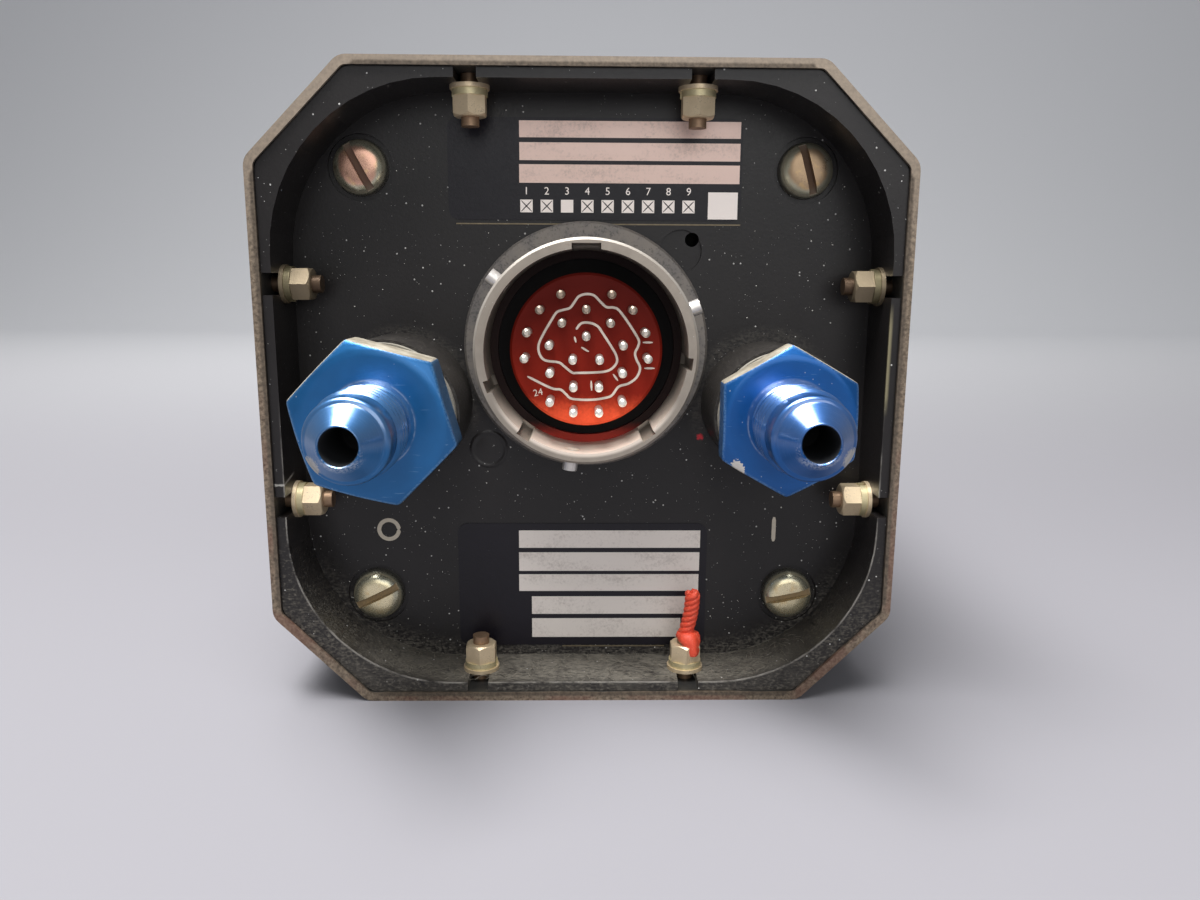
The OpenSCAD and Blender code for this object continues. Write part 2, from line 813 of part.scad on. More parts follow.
module cover_screws() {
    color([0.62, 0.52, 0.32]) place() for (i = [0:3]) {
        x = cover_places[i].x * cover_half;
        z = cover_places[i].y * cover_half;
        y_seat = y_plate + spot_depth;
        y_top = y_seat - cover_head_h;
        difference() {
            union() {
                turned(x, z) polygon(concat(
                    [for (j = [0:3]) [cover_head_r * dome_ring_shares[j],
                        y_top + cover_head_r * dome_drop_shares[j]]],
                    [[cover_head_r, y_seat], [0, y_seat]]
                ));
                bar(x, z, y_seat - over_len, y_inner + cover_grip_len, cover_screw_r);
            }
            translate([x, y_top - over_len, z]) rotate([0, -cover_slot_angles[i], 0]) {
                translate([-cover_head_r - over_len, 0, -cover_slot_w / 2]) {
                    cube([2 * (cover_head_r + over_len), over_len + cover_slot_depth, cover_slot_w]);
                }
            }
        }
    }
}

module case_screws() {
    color([0.6, 0.55, 0.38]) place() at_case_screws() difference() {
        union() {
            translate([0, 0, z_screw_end]) {
                cylinder(r = case_screw_r, h = case_w / 2 - case_head_depth - z_screw_end);
            }
            translate([0, 0, case_w / 2 - case_head_depth - case_head_h]) {
                cylinder(r1 = case_screw_r, r2 = case_head_r, h = case_head_h);
            }
        }
        translate([-case_head_r - over_len, -case_slot_w / 2,
            case_w / 2 - case_head_depth - case_slot_depth]) {
            cube([2 * (case_head_r + over_len), case_slot_w, case_slot_depth + over_len]);
        }
    }
}

module plain_washers() {
    color([0.68, 0.6, 0.42]) place() at_case_screws() {
        translate([0, 0, pocket_half - plain_washer_t]) difference() {
            cylinder(r = plain_washer_r, h = plain_washer_t);
            translate([0, 0, -over_len]) {
                cylinder(r = case_screw_r + hole_gap, h = plain_washer_t + 2 * over_len);
            }
        }
    }
}

module spring_washers() {
    color([0.64, 0.56, 0.38]) place() at_case_screws() translate([0, 0, z_nut]) {
        rotate([0, 0, spring_turn]) rotate_extrude(angle = 360 - spring_gap_angle) {
            translate([case_screw_r + hole_gap, 0]) {
                square([spring_washer_r - case_screw_r - hole_gap, spring_washer_t]);
            }
        }
    }
}

module hex_nuts() {
    corner_r = nut_af / 2 / cos(30);
    color([0.66, 0.6, 0.44]) place() at_case_screws() translate([0, 0, z_nut - nut_h]) {
        difference() {
            intersection() {
                rotate([0, 0, 30]) cylinder(r = corner_r, h = nut_h, $fn = 6);
                rotate_extrude() polygon([
                    [0, 0], [nut_af / 2 - nut_bevel_r, 0],
                    [corner_r + nut_bevel_r, nut_bevel_h],
                    [corner_r + nut_bevel_r, nut_h], [0, nut_h]
                ]);
            }
            translate([0, 0, -over_len]) {
                cylinder(r = case_screw_r + seat_gap, h = nut_h + 2 * over_len);
            }
        }
    }
}

// Cap of lacquer over_len the screw's end, with the twisted wire rising from it
module seal_wire() {
    color([0.8, 0.1, 0.05]) place() {
        translate([case_screw_x, case_screw_y, -z_screw_end - screw_end_len + seat_gap]) {
            difference() {
                cylinder(r1 = seal_cap_r, r2 = seal_cap_r - seal_cap_t,
                    h = screw_end_len + seal_cap_t);
                translate([0, 0, -over_len]) {
                    cylinder(r = case_screw_r + seat_gap, h = screw_end_len + over_len);
                }
            }
            translate([0, 0, screw_end_len + seal_cap_t / 2]) rotate([0, seal_lean, 0]) {
                linear_extrude(height = seal_len, twist = seal_twist, slices = seal_slices) {
                    for (s = [-1, 1]) {
                        translate([s * seal_strand_x, 0]) circle(r = seal_strand_r,
                            $fn = seal_sides);
                    }
                }
            }
        }
    }
}

// Four pillars with a blind hole at the rear end and a stud at the front end
module pillar_set(y0, y1, stud_out) {
    for (p = cover_places) {
        difference() {
            union() {
                bar(p.x * cover_half, p.y * cover_half, y0, y1, pillar_r);
                if (stud_out > 0) {
                    bar(p.x * cover_half, p.y * cover_half, y1 - over_len, y1 + stud_out, stud_r);
                }
            }
            translate([p.x * cover_half, 0, p.y * cover_half]) children();
        }
    }
}

module rear_pillars() {
    color([0.72, 0.7, 0.66]) place() {
        pillar_set(y_inner, y_cap, frame_t + stud_len) {
            bar(0, 0, y_inner - over_len, y_inner + cover_grip_len + free_gap,
                cover_screw_r + seat_gap);
        }
    }
}

module mid_pillars() {
    color([0.72, 0.7, 0.66]) place() {
        pillar_set(y_cap_front, y_rear, frame_t + stud_len) {
            bar(0, 0, y_cap_front - over_len, y_cap_front + stud_hole_len, stud_r + seat_gap);
        }
    }
}

module movement_pillars() {
    color([0.72, 0.7, 0.66]) place() {
        pillar_set(y_rear_front, y_move, frame_t + stud_len) {
            bar(0, 0, y_rear_front - over_len, y_rear_front + stud_hole_len, stud_r + seat_gap);
        }
    }
}

module front_pillars() {
    color([0.72, 0.7, 0.66]) place() {
        pillar_set(y_move_front, y_spigot, 0) {
            union() {
                bar(0, 0, y_move_front - over_len, y_move_front + stud_hole_len,
                    stud_r + seat_gap);
                bar(0, 0, y_spigot - stud_hole_len, y_spigot + over_len,
                    bezel_screw_r + seat_gap);
            }
        }
    }
}

// Frame plate with its four stud holes
module frame_plate(y0) {
    difference() {
        slab(y0, y0 + frame_t) polygon(rounded([[plate_half, -plate_half],
            [plate_half, plate_half], [-plate_half, plate_half], [-plate_half, -plate_half]],
            plate_corner_r, fold_steps));
        for (p = cover_places) {
            bar(p.x * cover_half, p.y * cover_half, y0 - over_len, y0 + frame_t + over_len,
                stud_r + hole_gap);
        }
        children();
    }
}

// Holes for the shelf screws in a plate that starts at depth y0
module shelf_screw_holes(y0) {
    for (turn = [0, 180]) {
        rotate([0, turn, 0]) {
            for (s = [-1, 1]) {
                bar(link_x + s * shelf_screw_x, z_shelf + shelf_screw_z, y0 - over_len,
                    y0 + frame_t + over_len, shelf_screw_r + seat_gap);
            }
        }
    }
}

module capsule_plate() {
    color([0.66, 0.64, 0.58]) place() frame_plate(y_cap) {
        bar(shaft_x, shaft_z, y_cap - over_len, y_cap_front + over_len, bush_r + seat_gap);
        bar(-shaft_x, -shaft_z, y_cap - over_len, y_cap_front + over_len, bush_r + seat_gap);
        bar(port_x, port_z, y_cap - over_len, y_cap_front + over_len, tube_hole_r);
        bar(0, 0, y_cap - over_len, y_cap_front + over_len, pillar_r * 2);
        shelf_screw_holes(y_cap);
    }
}

module rear_plate() {
    color([0.66, 0.64, 0.58]) place() frame_plate(y_rear) {
        bar(shaft_x, shaft_z, y_rear - over_len, y_rear_front + over_len, shaft_hole_r);
        bar(-shaft_x, -shaft_z, y_rear - over_len, y_rear_front + over_len, shaft_hole_r);
        bar(0, 0, y_rear - over_len, y_rear_front + over_len, pointer_bush_r + seat_gap);
        shelf_screw_holes(y_rear);
    }
}

module front_plate() {
    color([0.66, 0.64, 0.58]) place() frame_plate(y_move) {
        bar(shaft_x, shaft_z, y_move - over_len, y_move_front + over_len, bush_r + seat_gap);
        bar(-shaft_x, -shaft_z, y_move - over_len, y_move_front + over_len, bush_r + seat_gap);
        bar(0, 0, y_move - over_len, y_move_front + over_len, mach_bush_r + seat_gap);
    }
}

// Flanged bush through a plate, its flange on the side given by y_flange_start
module bush(x, z, y0, y1, y_flange_start, body_r, rim_r, hole_r) {
    difference() {
        union() {
            bar(x, z, y0, y1, body_r);
            bar(x, z, y_flange_start, y_flange_start + bush_flange_t, rim_r);
        }
        bar(x, z, y0 - over_len - bush_flange_t, y1 + over_len + bush_flange_t, hole_r);
    }
}

module shaft_bushes() {
    color([0.8, 0.65, 0.3]) place() for (s = [-1, 1]) {
        bush(s * shaft_x, s * shaft_z, y_cap, y_cap_front + bush_flange_t / 2, y_cap_front,
            bush_r, bush_flange_r, pivot_r + run_gap);
        bush(s * shaft_x, s * shaft_z, y_move - bush_flange_t / 2, y_move_front,
            y_move - bush_flange_t, bush_r, bush_flange_r, pivot_r + run_gap);
    }
}

module pointer_bush() {
    color([0.8, 0.65, 0.3]) place() bush(0, 0, y_rear, y_rear_front,
        y_rear - bush_flange_t, pointer_bush_r, bush_flange_r, spindle_pivot_r + run_gap);
}

module mach_bush() {
    color([0.8, 0.65, 0.3]) place() bush(0, 0, y_move - bush_flange_t / 2, y_move_front,
        y_move - bush_flange_t, mach_bush_r, mach_bush_flange_r, sleeve_r + run_gap);
}

// Folded shelf between capsule plate and rear movement plate
module shelf() {
    difference() {
        union() {
            translate([link_x - shelf_w / 2, y_cap_front, z_shelf - shelf_t]) {
                cube([shelf_w, mid_pillar_len, shelf_t]);
            }
            for (y = [y_cap_front, y_rear - shelf_t]) {
                translate([link_x - shelf_w / 2, y, z_shelf - shelf_t]) {
                    cube([shelf_w, shelf_t, shelf_t + shelf_tab_h]);
                }
            }
        }
        translate([link_x, y_capsule, z_shelf - shelf_t - over_len]) {
            cylinder(r = stem_r + hole_gap, h = shelf_t + 2 * over_len);
        }
        for (s = [-1, 1]) {
            bar(link_x + s * shelf_screw_x, z_shelf + shelf_screw_z, y_cap_front - over_len,
                y_rear + over_len, shelf_screw_r + hole_gap);
        }
    }
}

module airspeed_shelf() {
    color([0.7, 0.68, 0.62]) place() shelf();
}

module mach_shelf() {
    color([0.7, 0.68, 0.62]) place() rotate([0, 180, 0]) shelf();
}

module shelf_screws() {
    color([0.75, 0.68, 0.45]) place() for (turn = [0, 180]) {
        rotate([0, turn, 0]) for (s = [-1, 1]) {
            x = link_x + s * shelf_screw_x;
            z = z_shelf + shelf_screw_z;
            bar(x, z, y_cap_front + shelf_t, y_cap_front + shelf_t + shelf_head_h,
                shelf_head_r);
            bar(x, z, y_cap, y_cap_front + shelf_t + shelf_head_h / 2, shelf_screw_r);
            bar(x, z, y_rear - shelf_t - shelf_head_h, y_rear - shelf_t, shelf_head_r);
            bar(x, z, y_rear - shelf_t - shelf_head_h / 2, y_rear_front, shelf_screw_r);
        }
    }
}

// Wavy height of a capsule wall at radius r
function wave(r) = capsule_wave_h * sin(360 * capsule_waves * r / capsule_r);
wave_count = 4 * capsule_waves;
inner_count = wave_count - 1;

// Half section of the hollow, corrugated capsule about its own axis
module capsule_section() {
    r0 = capsule_boss_r;
    step = (capsule_r - r0) / wave_count;
    top = capsule_h / 2;
    difference() {
        polygon(concat(
            [for (i = [0:wave_count]) let (r = r0 + step * i, e = i == wave_count)
                [r, (e ? capsule_edge_h : top + wave(r) - capsule_wave_h)]],
            [for (i = [wave_count:-1:0]) let (r = r0 + step * i, e = i == wave_count)
                [r, -(e ? capsule_edge_h : top + wave(r) - capsule_wave_h)]],
            [[0, -top], [0, top]]
        ));
        polygon(concat(
            [for (i = [0:inner_count]) let (r = r0 + step * i)
                [r, top + wave(r) - capsule_wave_h - capsule_wall]],
            [for (i = [inner_count:-1:0]) let (r = r0 + step * i)
                [r, -(top + wave(r) - capsule_wave_h - capsule_wall)]]
        ));
    }
}

module capsule(bore_len) {
    translate([link_x, y_capsule, 0]) difference() {
        union() {
            translate([0, 0, capsule_z]) rotate_extrude() capsule_section();
            translate([0, 0, capsule_z + capsule_h / 2 - capsule_wall]) {
                cylinder(r = capsule_boss_r, h = capsule_boss_h + capsule_wall);
            }
            translate([0, 0, z_stem]) {
                cylinder(r = stem_r, h = z_capsule_low + capsule_wall - z_stem);
            }
        }
        if (bore_len > 0) {
            translate([0, 0, z_stem - over_len]) cylinder(r = stem_bore_r, h = over_len + bore_len);
        }
    }
}

module airspeed_capsule() {
    color([0.75, 0.6, 0.35]) place() capsule(stem_bore_len);
}

module mach_capsule() {
    color([0.75, 0.6, 0.35]) place() rotate([0, 180, 0]) capsule(0);
}

module capsule_nuts() {
    color([0.75, 0.68, 0.45]) place() for (turn = [0, 180]) {
        rotate([0, turn, 0]) translate([link_x, y_capsule, z_shelf - shelf_t - capsule_nut_h]) {
            difference() {
                cylinder(r = capsule_nut_af / 2 / cos(30), h = capsule_nut_h, $fn = 6);
                translate([0, 0, -over_len]) {
                    cylinder(r = stem_r + seat_gap, h = capsule_nut_h + 2 * over_len);
                }
            }
        }
    }
}

// Strip from the capsule's boss to the slotted eye at the arm's pin
module link() {
    z_eye = shaft_z - pin_drop;
    translate([link_x, y_capsule - link_t / 2, 0]) difference() {
        union() {
            translate([-link_w / 2, 0, z_boss + free_gap]) {
                cube([link_w, link_t, z_eye - z_boss - free_gap]);
            }
            translate([-eye_half_w, 0, z_eye - eye_half_h]) {
                cube([2 * eye_half_w, link_t, 2 * eye_half_h]);
            }
        }
        translate([-arm_pin_r - pin_play - eye_gap, -over_len, z_eye - arm_pin_r - eye_gap]) {
            cube([2 * (arm_pin_r + pin_play + eye_gap), link_t + 2 * over_len,
                2 * (arm_pin_r + eye_gap)]);
        }
    }
}

module airspeed_link() {
    color([0.78, 0.76, 0.7]) place() link();
}

module mach_link() {
    color([0.78, 0.76, 0.7]) place() rotate([0, 180, 0]) link();
}

// Rocking shaft with its two pivots, and the arm whose pin works the link
module rocking_shaft() {
    y0 = y_cap_front + bush_flange_t + end_play_gap;
    y1 = y_move - bush_flange_t - end_play_gap;
    y_arm = y_capsule + link_t / 2 + free_gap;
    pin = [shaft_x - arm_len * cos(arm_rest), shaft_z - pin_drop];
    bar(shaft_x, shaft_z, y0, y1, shaft_r);
    bar(shaft_x, shaft_z, y_cap, y_move_front, pivot_r);
    slab(y_arm, y_arm + arm_t) union() {
        translate([shaft_x, shaft_z]) circle(r = arm_hub_r);
        translate(pin) circle(r = arm_tip_r);
        translate([shaft_x, shaft_z]) rotate([0, 0, 180 + arm_rest]) {
            translate([0, -arm_tip_r]) square([arm_len, 2 * arm_tip_r]);
        }
    }
    bar(pin.x, pin.y, y_capsule - link_t / 2 - free_gap, y_arm + arm_t / 2, arm_pin_r);
}

module airspeed_rocking_shaft() {
    color([0.6, 0.6, 0.6]) place() rocking_shaft();
}

module mach_rocking_shaft() {
    color([0.6, 0.6, 0.6]) place() rotate([0, 180, 0]) rocking_shaft();
}

// One tooth as a trapezoid, centred on angle a, of a gear with pitch radius r
module tooth(r, a) {
    pitch = PI * gear_module;
    low = r - dedendum_share * gear_module;
    high = r + addendum_share * gear_module;
    rotate([0, 0, a]) polygon([
        [low - gear_module / 2, -pitch * root_half_share], [low, -pitch * root_half_share],
        [r, -pitch * pitch_half_share], [high, -pitch * tip_half_share],
        [high, pitch * tip_half_share], [r, pitch * pitch_half_share],
        [low, pitch * root_half_share], [low - gear_module / 2, pitch * root_half_share]
    ]);
}

// Toothed sector, drawn with its first meshing tooth towards the pointer axis
module sector(y0) {
    step = 360 / sector_teeth;
    face = 180 + shaft_angle;
    root_r = sector_r - dedendum_share * gear_module;
    inner_r = root_r - sector_rim_w;
    first = -2;
    last = round(airspeed_swing / step) + 2;
    a0 = face + (first - 1) * step;
    a1 = face + (last + 1) * step;
    difference() {
        slab(y0, y0 + sector_t) translate([shaft_x, shaft_z]) union() {
            circle(r = sector_hub_r);
            difference() {
                polygon([[0, 0], for (i = [0:12]) polar(root_r, a0 + (a1 - a0) * i / 12)]);
                polygon([
                    polar(sector_hub_r + sector_rib_w, (a0 + a1) / 2),
                    for (i = [0:8]) polar(inner_r,
                        a0 + sector_rib_angle + (a1 - a0 - 2 * sector_rib_angle) * i / 8)
                ]);
            }
            for (k = [first:last]) tooth(sector_r, face + k * step);
        }
        bar(shaft_x, shaft_z, y0 - over_len, y0 + sector_t + over_len, shaft_r + seat_gap);
    }
}

module airspeed_sector() {
    color([0.82, 0.7, 0.4]) place() sector(y_airspeed_gear);
}

module mach_sector() {
    color([0.82, 0.7, 0.4]) place() rotate([0, 180, 0]) sector(y_mach_gear);
}

// Pinion outline with a gap facing both sectors
module pinion_outline() {
    step = 360 / pinion_teeth;
    circle(r = pinion_r - dedendum_share * gear_module);
    for (k = [0:pinion_teeth - 1]) tooth(pinion_r, shaft_angle + step / 2 + k * step);
}

module pointer_spindle() {
    y_pinion = y_airspeed_gear + sector_t / 2 - pinion_face / 2;
    y_collet = y_rear_front + end_play_gap;
    color([0.7, 0.7, 0.68]) place() {
        bar(0, 0, y_rear, y_collet + collet_len / 2, spindle_pivot_r);
        bar(0, 0, y_collet, y_collet + collet_len, collet_r);
        bar(0, 0, y_collet + collet_len / 2, y_dial + dial_t + spindle_end_len, spindle_r);
        slab(y_pinion, y_pinion + pinion_face) pinion_outline();
    }
}

// Spiral strip between the collet and its stud on the plate
module hairspring() {
    r0 = collet_r + spring_gap;
    steps = 24 * spring_turns;
    y0 = y_rear_front + end_play_gap + collet_len / 2 - spring_h / 2;
    color([0.55, 0.57, 0.65]) place() {
        slab(y0, y0 + spring_h) polygon(concat(
            [for (i = [0:steps]) polar(r0 + (spring_r - r0) * i / steps, 15 * i)],
            [for (i = [steps:-1:0]) polar(r0 + spring_wire_w + (spring_r - r0) * i / steps,
                15 * i)]
        ));
        bar(spring_r + spring_wire_w / 2, 0, y_rear_front, y0 + spring_h + free_gap,
            spring_stud_r);
    }
}

module mach_sleeve() {
    y_pinion = y_mach_gear + sector_t / 2 - pinion_face / 2;
    color([0.72, 0.62, 0.4]) place() difference() {
        union() {
            bar(0, 0, y_mach_gear - sleeve_start_len, y_dial - sleeve_end_gap, sleeve_r);
            slab(y_pinion, y_pinion + pinion_face) pinion_outline();
        }
        bar(0, 0, y_mach_gear - sleeve_start_len - over_len, y_dial, spindle_r + run_gap);
    }
}

module mach_disc() {
    y0 = y_dial - mach_disc_back_gap - mach_disc_t;
    color([0.05, 0.05, 0.05]) place() difference() {
        union() {
            bar(0, 0, y0, y0 + mach_disc_t, mach_disc_r);
            bar(0, 0, y0 + mach_disc_t - mach_hub_len, y0 + mach_disc_t, mach_hub_r);
        }
        bar(0, 0, y0 - mach_hub_len, y0 + mach_disc_t + over_len, sleeve_r + seat_gap);
    }
}

module airspeed_pointer() {
    y0 = y_dial + dial_t + pointer_gap;
    color([0.92, 0.92, 0.9]) place() difference() {
        union() {
            slab(y0, y0 + pointer_t) polygon([
                [-pointer_tail_w / 2, -pointer_tail_len], [pointer_tail_w / 2, -pointer_tail_len],
                [pointer_root_w / 2, 0], [pointer_neck_w / 2, pointer_len * pointer_tip_share],
                [0, pointer_len], [-pointer_neck_w / 2, pointer_len * pointer_tip_share],
                [-pointer_root_w / 2, 0]
            ]);
            bar(0, 0, y0 + pointer_t / 2 - pointer_hub_t / 2,
                y0 + pointer_t / 2 + pointer_hub_t / 2, pointer_hub_r);
        }
        bar(0, 0, y0 - pointer_hub_t, y0 + pointer_hub_t + over_len, spindle_r + seat_gap);
    }
}

function dial_post_place(i) = polar(dial_post_ring_r, 90 + 120 * i);

module dial_plate() {
    color([0.04, 0.04, 0.04]) place() difference() {
        bar(0, 0, y_dial, y_dial + dial_t, dial_r);
        bar(0, 0, y_dial - over_len, y_dial + dial_t + over_len, dial_hole_r);
        slab(y_dial - over_len, y_dial + dial_t + over_len) polygon(concat(
            [for (i = [0:10]) polar(mach_window_outer_r,
                -90 - mach_window_angle + mach_window_angle * i / 5)],
            [for (i = [10:-1:0]) polar(mach_window_inner_r,
                -90 - mach_window_angle + mach_window_angle * i / 5)]
        ));
        for (i = [0:2]) {
            p = dial_post_place(i);
            bar(p.x, p.y, y_dial - over_len, y_dial + dial_t + over_len, dial_screw_r + hole_gap);
        }
    }
}

module dial_posts() {
    color([0.72, 0.7, 0.66]) place() for (i = [0:2]) {
        p = dial_post_place(i);
        difference() {
            bar(p.x, p.y, y_move_front, y_dial, dial_post_r);
            bar(p.x, p.y, y_dial - dial_screw_len - free_gap, y_dial + over_len,
                dial_screw_r + seat_gap);
        }
    }
}

module dial_screws() {
    color([0.1, 0.1, 0.1]) place() for (i = [0:2]) {
        p = dial_post_place(i);
        bar(p.x, p.y, y_dial - dial_screw_len, y_dial + dial_t + dial_head_h / 2,
            dial_screw_r);
        bar(p.x, p.y, y_dial + dial_t, y_dial + dial_t + dial_head_h, dial_head_r);
    }
}

// Depths of the glass stack, from the bezel's lip backwards
y_lip = y_bezel - bezel_lip_t;
y_glass_front = y_lip - glass_seal_t;
y_glass = y_glass_front - glass_t;

module front_glass() {
    color([0.8, 0.88, 0.9, 0.35]) place() bar(0, 0, y_glass, y_glass_front, glass_r);
}

module glass_seal() {
    color([0.08, 0.08, 0.08]) place() difference() {
        bar(0, 0, y_glass_front, y_lip, glass_r);
        bar(0, 0, y_glass_front - over_len, y_lip + over_len, glass_r - glass_seal_w);
    }
}

module glass_ring() {
    color([0.1, 0.1, 0.1]) place() difference() {
        bar(0, 0, y_glass - glass_ring_t, y_glass, glass_r + glass_gap - seat_gap);
        bar(0, 0, y_glass - glass_ring_t - over_len, y_glass + over_len, glass_r - glass_seal_w);
    }
}

module bezel() {
    bevel_share = (case_w - 2 * bezel_bevel_w) / case_w;
    color([0.07, 0.07, 0.07]) place() difference() {
        union() {
            slab(y_spigot, sleeve_len + over_len) casting_outline();
            slab(sleeve_len, y_bezel - bezel_bevel_w) case_outline(0);
            translate([0, y_bezel, 0]) rotate([90, 0, 0]) linear_extrude(
                height = bezel_bevel_w, scale = 1 / bevel_share) scale(bevel_share) {
                case_outline(0);
            }
        }
        bar(0, 0, y_spigot - over_len, y_lip, glass_r + glass_gap);
        bar(0, 0, y_lip - over_len, y_bezel + over_len, window_r);
        taper(0, 0, y_bezel - bezel_flare_w, y_bezel + over_len, window_r,
            window_r + bezel_flare_w + over_len);
        for (p = cover_places) {
            bar(p.x * cover_half, p.y * cover_half, y_spigot - over_len, y_bezel + over_len,
                bezel_screw_r + hole_gap);
            taper(p.x * cover_half, p.y * cover_half, y_bezel - bezel_head_h, y_bezel,
                bezel_screw_r + hole_gap, bezel_head_r + hole_gap);
            bar(p.x * cover_half, p.y * cover_half, y_bezel, y_bezel + over_len,
                bezel_head_r + hole_gap);
        }
    }
}

module bezel_screws() {
    color([0.12, 0.12, 0.12]) place() for (p = cover_places) {
        x = p.x * cover_half;
        z = p.y * cover_half;
        difference() {
            union() {
                bar(x, z, y_spigot - stud_len, y_bezel, bezel_screw_r);
                taper(x, z, y_bezel - bezel_head_h, y_bezel, bezel_screw_r, bezel_head_r);
            }
            translate([x - bezel_head_r - over_len, y_bezel - bezel_slot_depth,
                z - bezel_slot_w / 2]) {
                cube([2 * (bezel_head_r + over_len), bezel_slot_depth + over_len, bezel_slot_w]);
            }
        }
    }
}

// Route of the pitot tube, from the rear plate round the shelf to the capsule's stem
tube_x = link_x + shelf_w / 2 + tube_side_gap;
tube_z = z_stem - tube_low_gap;
tube_room = y_capsule - capsule_r - y_cap_front;
turns = tube_turn_shares;
tube_route = [
    [port_x, y_inner - tube_seat_len, port_z],
    [port_x, y_cap, port_z],
    [port_x, y_cap_front + turns[0] * tube_room, port_z - turns[1] * tube_lead_len],
    [tube_x, y_cap_front + turns[2] * tube_room, port_z - turns[3] * tube_lead_len],
    [tube_x, y_cap_front + turns[4] * tube_room, z_shelf + turns[5] * tube_lead_len],
    [tube_x - turns[7] * tube_low_gap, y_cap_front + turns[6] * tube_lead_len, tube_z],
    [link_x + tube_low_gap, y_capsule - tube_lead_len, tube_z - turns[8] * tube_low_gap],
    [link_x, y_capsule, z_stem - turns[9] * tube_low_gap],
    [link_x, y_capsule, z_stem - end_play_gap],
    [link_x, y_capsule, z_stem + stem_bore_len - free_gap]
];

// Point on a smooth curve through four neighbouring points
function curve_point(p0, p1, p2, p3, t) =
    (2 * p1 + (p2 - p0) * t + (2 * p0 - 5 * p1 + 4 * p2 - p3) * t * t
        + (3 * p1 - p0 - 3 * p2 + p3) * t * t * t) / 2;

function curve(points, steps) =
    let (n = len(points) - 1)
    [for (i = [0:n - 1]) for (j = [0:steps - 1])
        curve_point(points[max(i - 1, 0)], points[i], points[i + 1], points[min(i + 2, n)],
            j / steps), points[n]];

function unit(v) = v / norm(v);

// Frames carried along a path without twist, as the side vector at each point
function side_vectors(path, i = 0, last = [1, 0, 0]) =
    let (
        n = len(path) - 1,
        t = unit(path[min(i + 1, n)] - path[max(i - 1, 0)]),
        s = unit(last - t * (last * t))
    )
    i == n ? [s] : concat([s], side_vectors(path, i + 1, s));

function ring_points(path, sides, r, count) =
    [for (i = [0:len(path) - 1])
        let (
            n = len(path) - 1,
            t = unit(path[min(i + 1, n)] - path[max(i - 1, 0)]),
            u = sides[i],
            v = cross(t, u)
        )
        for (k = [0:count - 1])
            path[i] + r * (u * cos(360 * k / count) + v * sin(360 * k / count))];

module pitot_tube() {
    path = curve(tube_route, tube_steps);
    sides = side_vectors(path);
    rings = len(path);
    m = tube_sides;
    outer = ring_points(path, sides, tube_r, m);
    inner = ring_points(path, sides, tube_bore_r, m);
    all = rings * m;
    faces = concat(
        [for (i = [0:rings - 2]) for (k = [0:m - 1]) let (q = (k + 1) % m)
            [i * m + k, (i + 1) * m + k, (i + 1) * m + q, i * m + q]],
        [for (i = [0:rings - 2]) for (k = [0:m - 1]) let (q = (k + 1) % m)
            [all + i * m + q, all + (i + 1) * m + q, all + (i + 1) * m + k, all + i * m + k]],
        [for (k = [0:m - 1]) let (q = (k + 1) % m) [k, q, all + q, all + k]],
        [for (k = [0:m - 1]) let (q = (k + 1) % m, b = (rings - 1) * m)
            [all + b + k, all + b + q, b + q, b + k]]
    );
    color([0.72, 0.45, 0.28]) place() polyhedron(points = concat(outer, inner),
        faces = faces);
}

case_sleeve();
rear_casting();
case_gasket();
static_fitting();
pitot_fitting();
fitting_washers();
connector_shell();
connector_insert();
connector_seal();
connector_contacts();
bayonet_pins();
connector_nut();
blanking_plug();
cover_screws();
case_screws();
plain_washers();
spring_washers();
hex_nuts();
seal_wire();
rear_pillars();
capsule_plate();
mid_pillars();
rear_plate();
movement_pillars();
front_plate();
front_pillars();
shaft_bushes();
pointer_bush();
mach_bush();
airspeed_shelf();
mach_shelf();
shelf_screws();
airspeed_capsule();
mach_capsule();
capsule_nuts();
airspeed_link();
mach_link();
airspeed_rocking_shaft();
mach_rocking_shaft();
airspeed_sector();
mach_sector();
pointer_spindle();
hairspring();
mach_sleeve();
mach_disc();
airspeed_pointer();
dial_plate();
dial_posts();
dial_screws();
front_glass();
glass_seal();
glass_ring();
bezel();
bezel_screws();
pitot_tube();
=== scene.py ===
import math

import bpy
import numpy as np
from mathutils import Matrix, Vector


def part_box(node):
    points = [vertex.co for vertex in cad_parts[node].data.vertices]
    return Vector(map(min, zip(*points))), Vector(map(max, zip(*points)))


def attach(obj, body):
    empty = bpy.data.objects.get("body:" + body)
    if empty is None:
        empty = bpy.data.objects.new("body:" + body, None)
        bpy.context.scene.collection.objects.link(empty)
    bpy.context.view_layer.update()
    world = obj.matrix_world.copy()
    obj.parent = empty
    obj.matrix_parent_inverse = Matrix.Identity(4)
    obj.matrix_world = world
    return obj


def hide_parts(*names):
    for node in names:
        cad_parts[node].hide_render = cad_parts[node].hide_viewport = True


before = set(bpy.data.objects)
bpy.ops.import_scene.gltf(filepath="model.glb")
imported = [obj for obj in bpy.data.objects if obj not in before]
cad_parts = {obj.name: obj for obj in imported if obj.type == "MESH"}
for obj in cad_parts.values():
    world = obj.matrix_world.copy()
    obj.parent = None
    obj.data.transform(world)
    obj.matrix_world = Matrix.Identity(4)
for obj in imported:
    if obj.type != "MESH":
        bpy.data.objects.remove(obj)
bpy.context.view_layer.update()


# The axis of the case and its rear rim, in metres, from which the pieces below are placed.
# A point is written in millimetres: x to the right as seen from the rear, depth behind the
# rim towards the dial, and height above the case axis.
MM = 0.001
sleeve_low, sleeve_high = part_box("case_sleeve")
RIM = sleeve_low.y
AXIS = (sleeve_low.z + sleeve_high.z) / 2


def row(points):
    """Millimetres from the case axis and the rim, turned into metres in the row frame."""
    return np.asarray(points, float) * MM + np.array([0, RIM, AXIS])


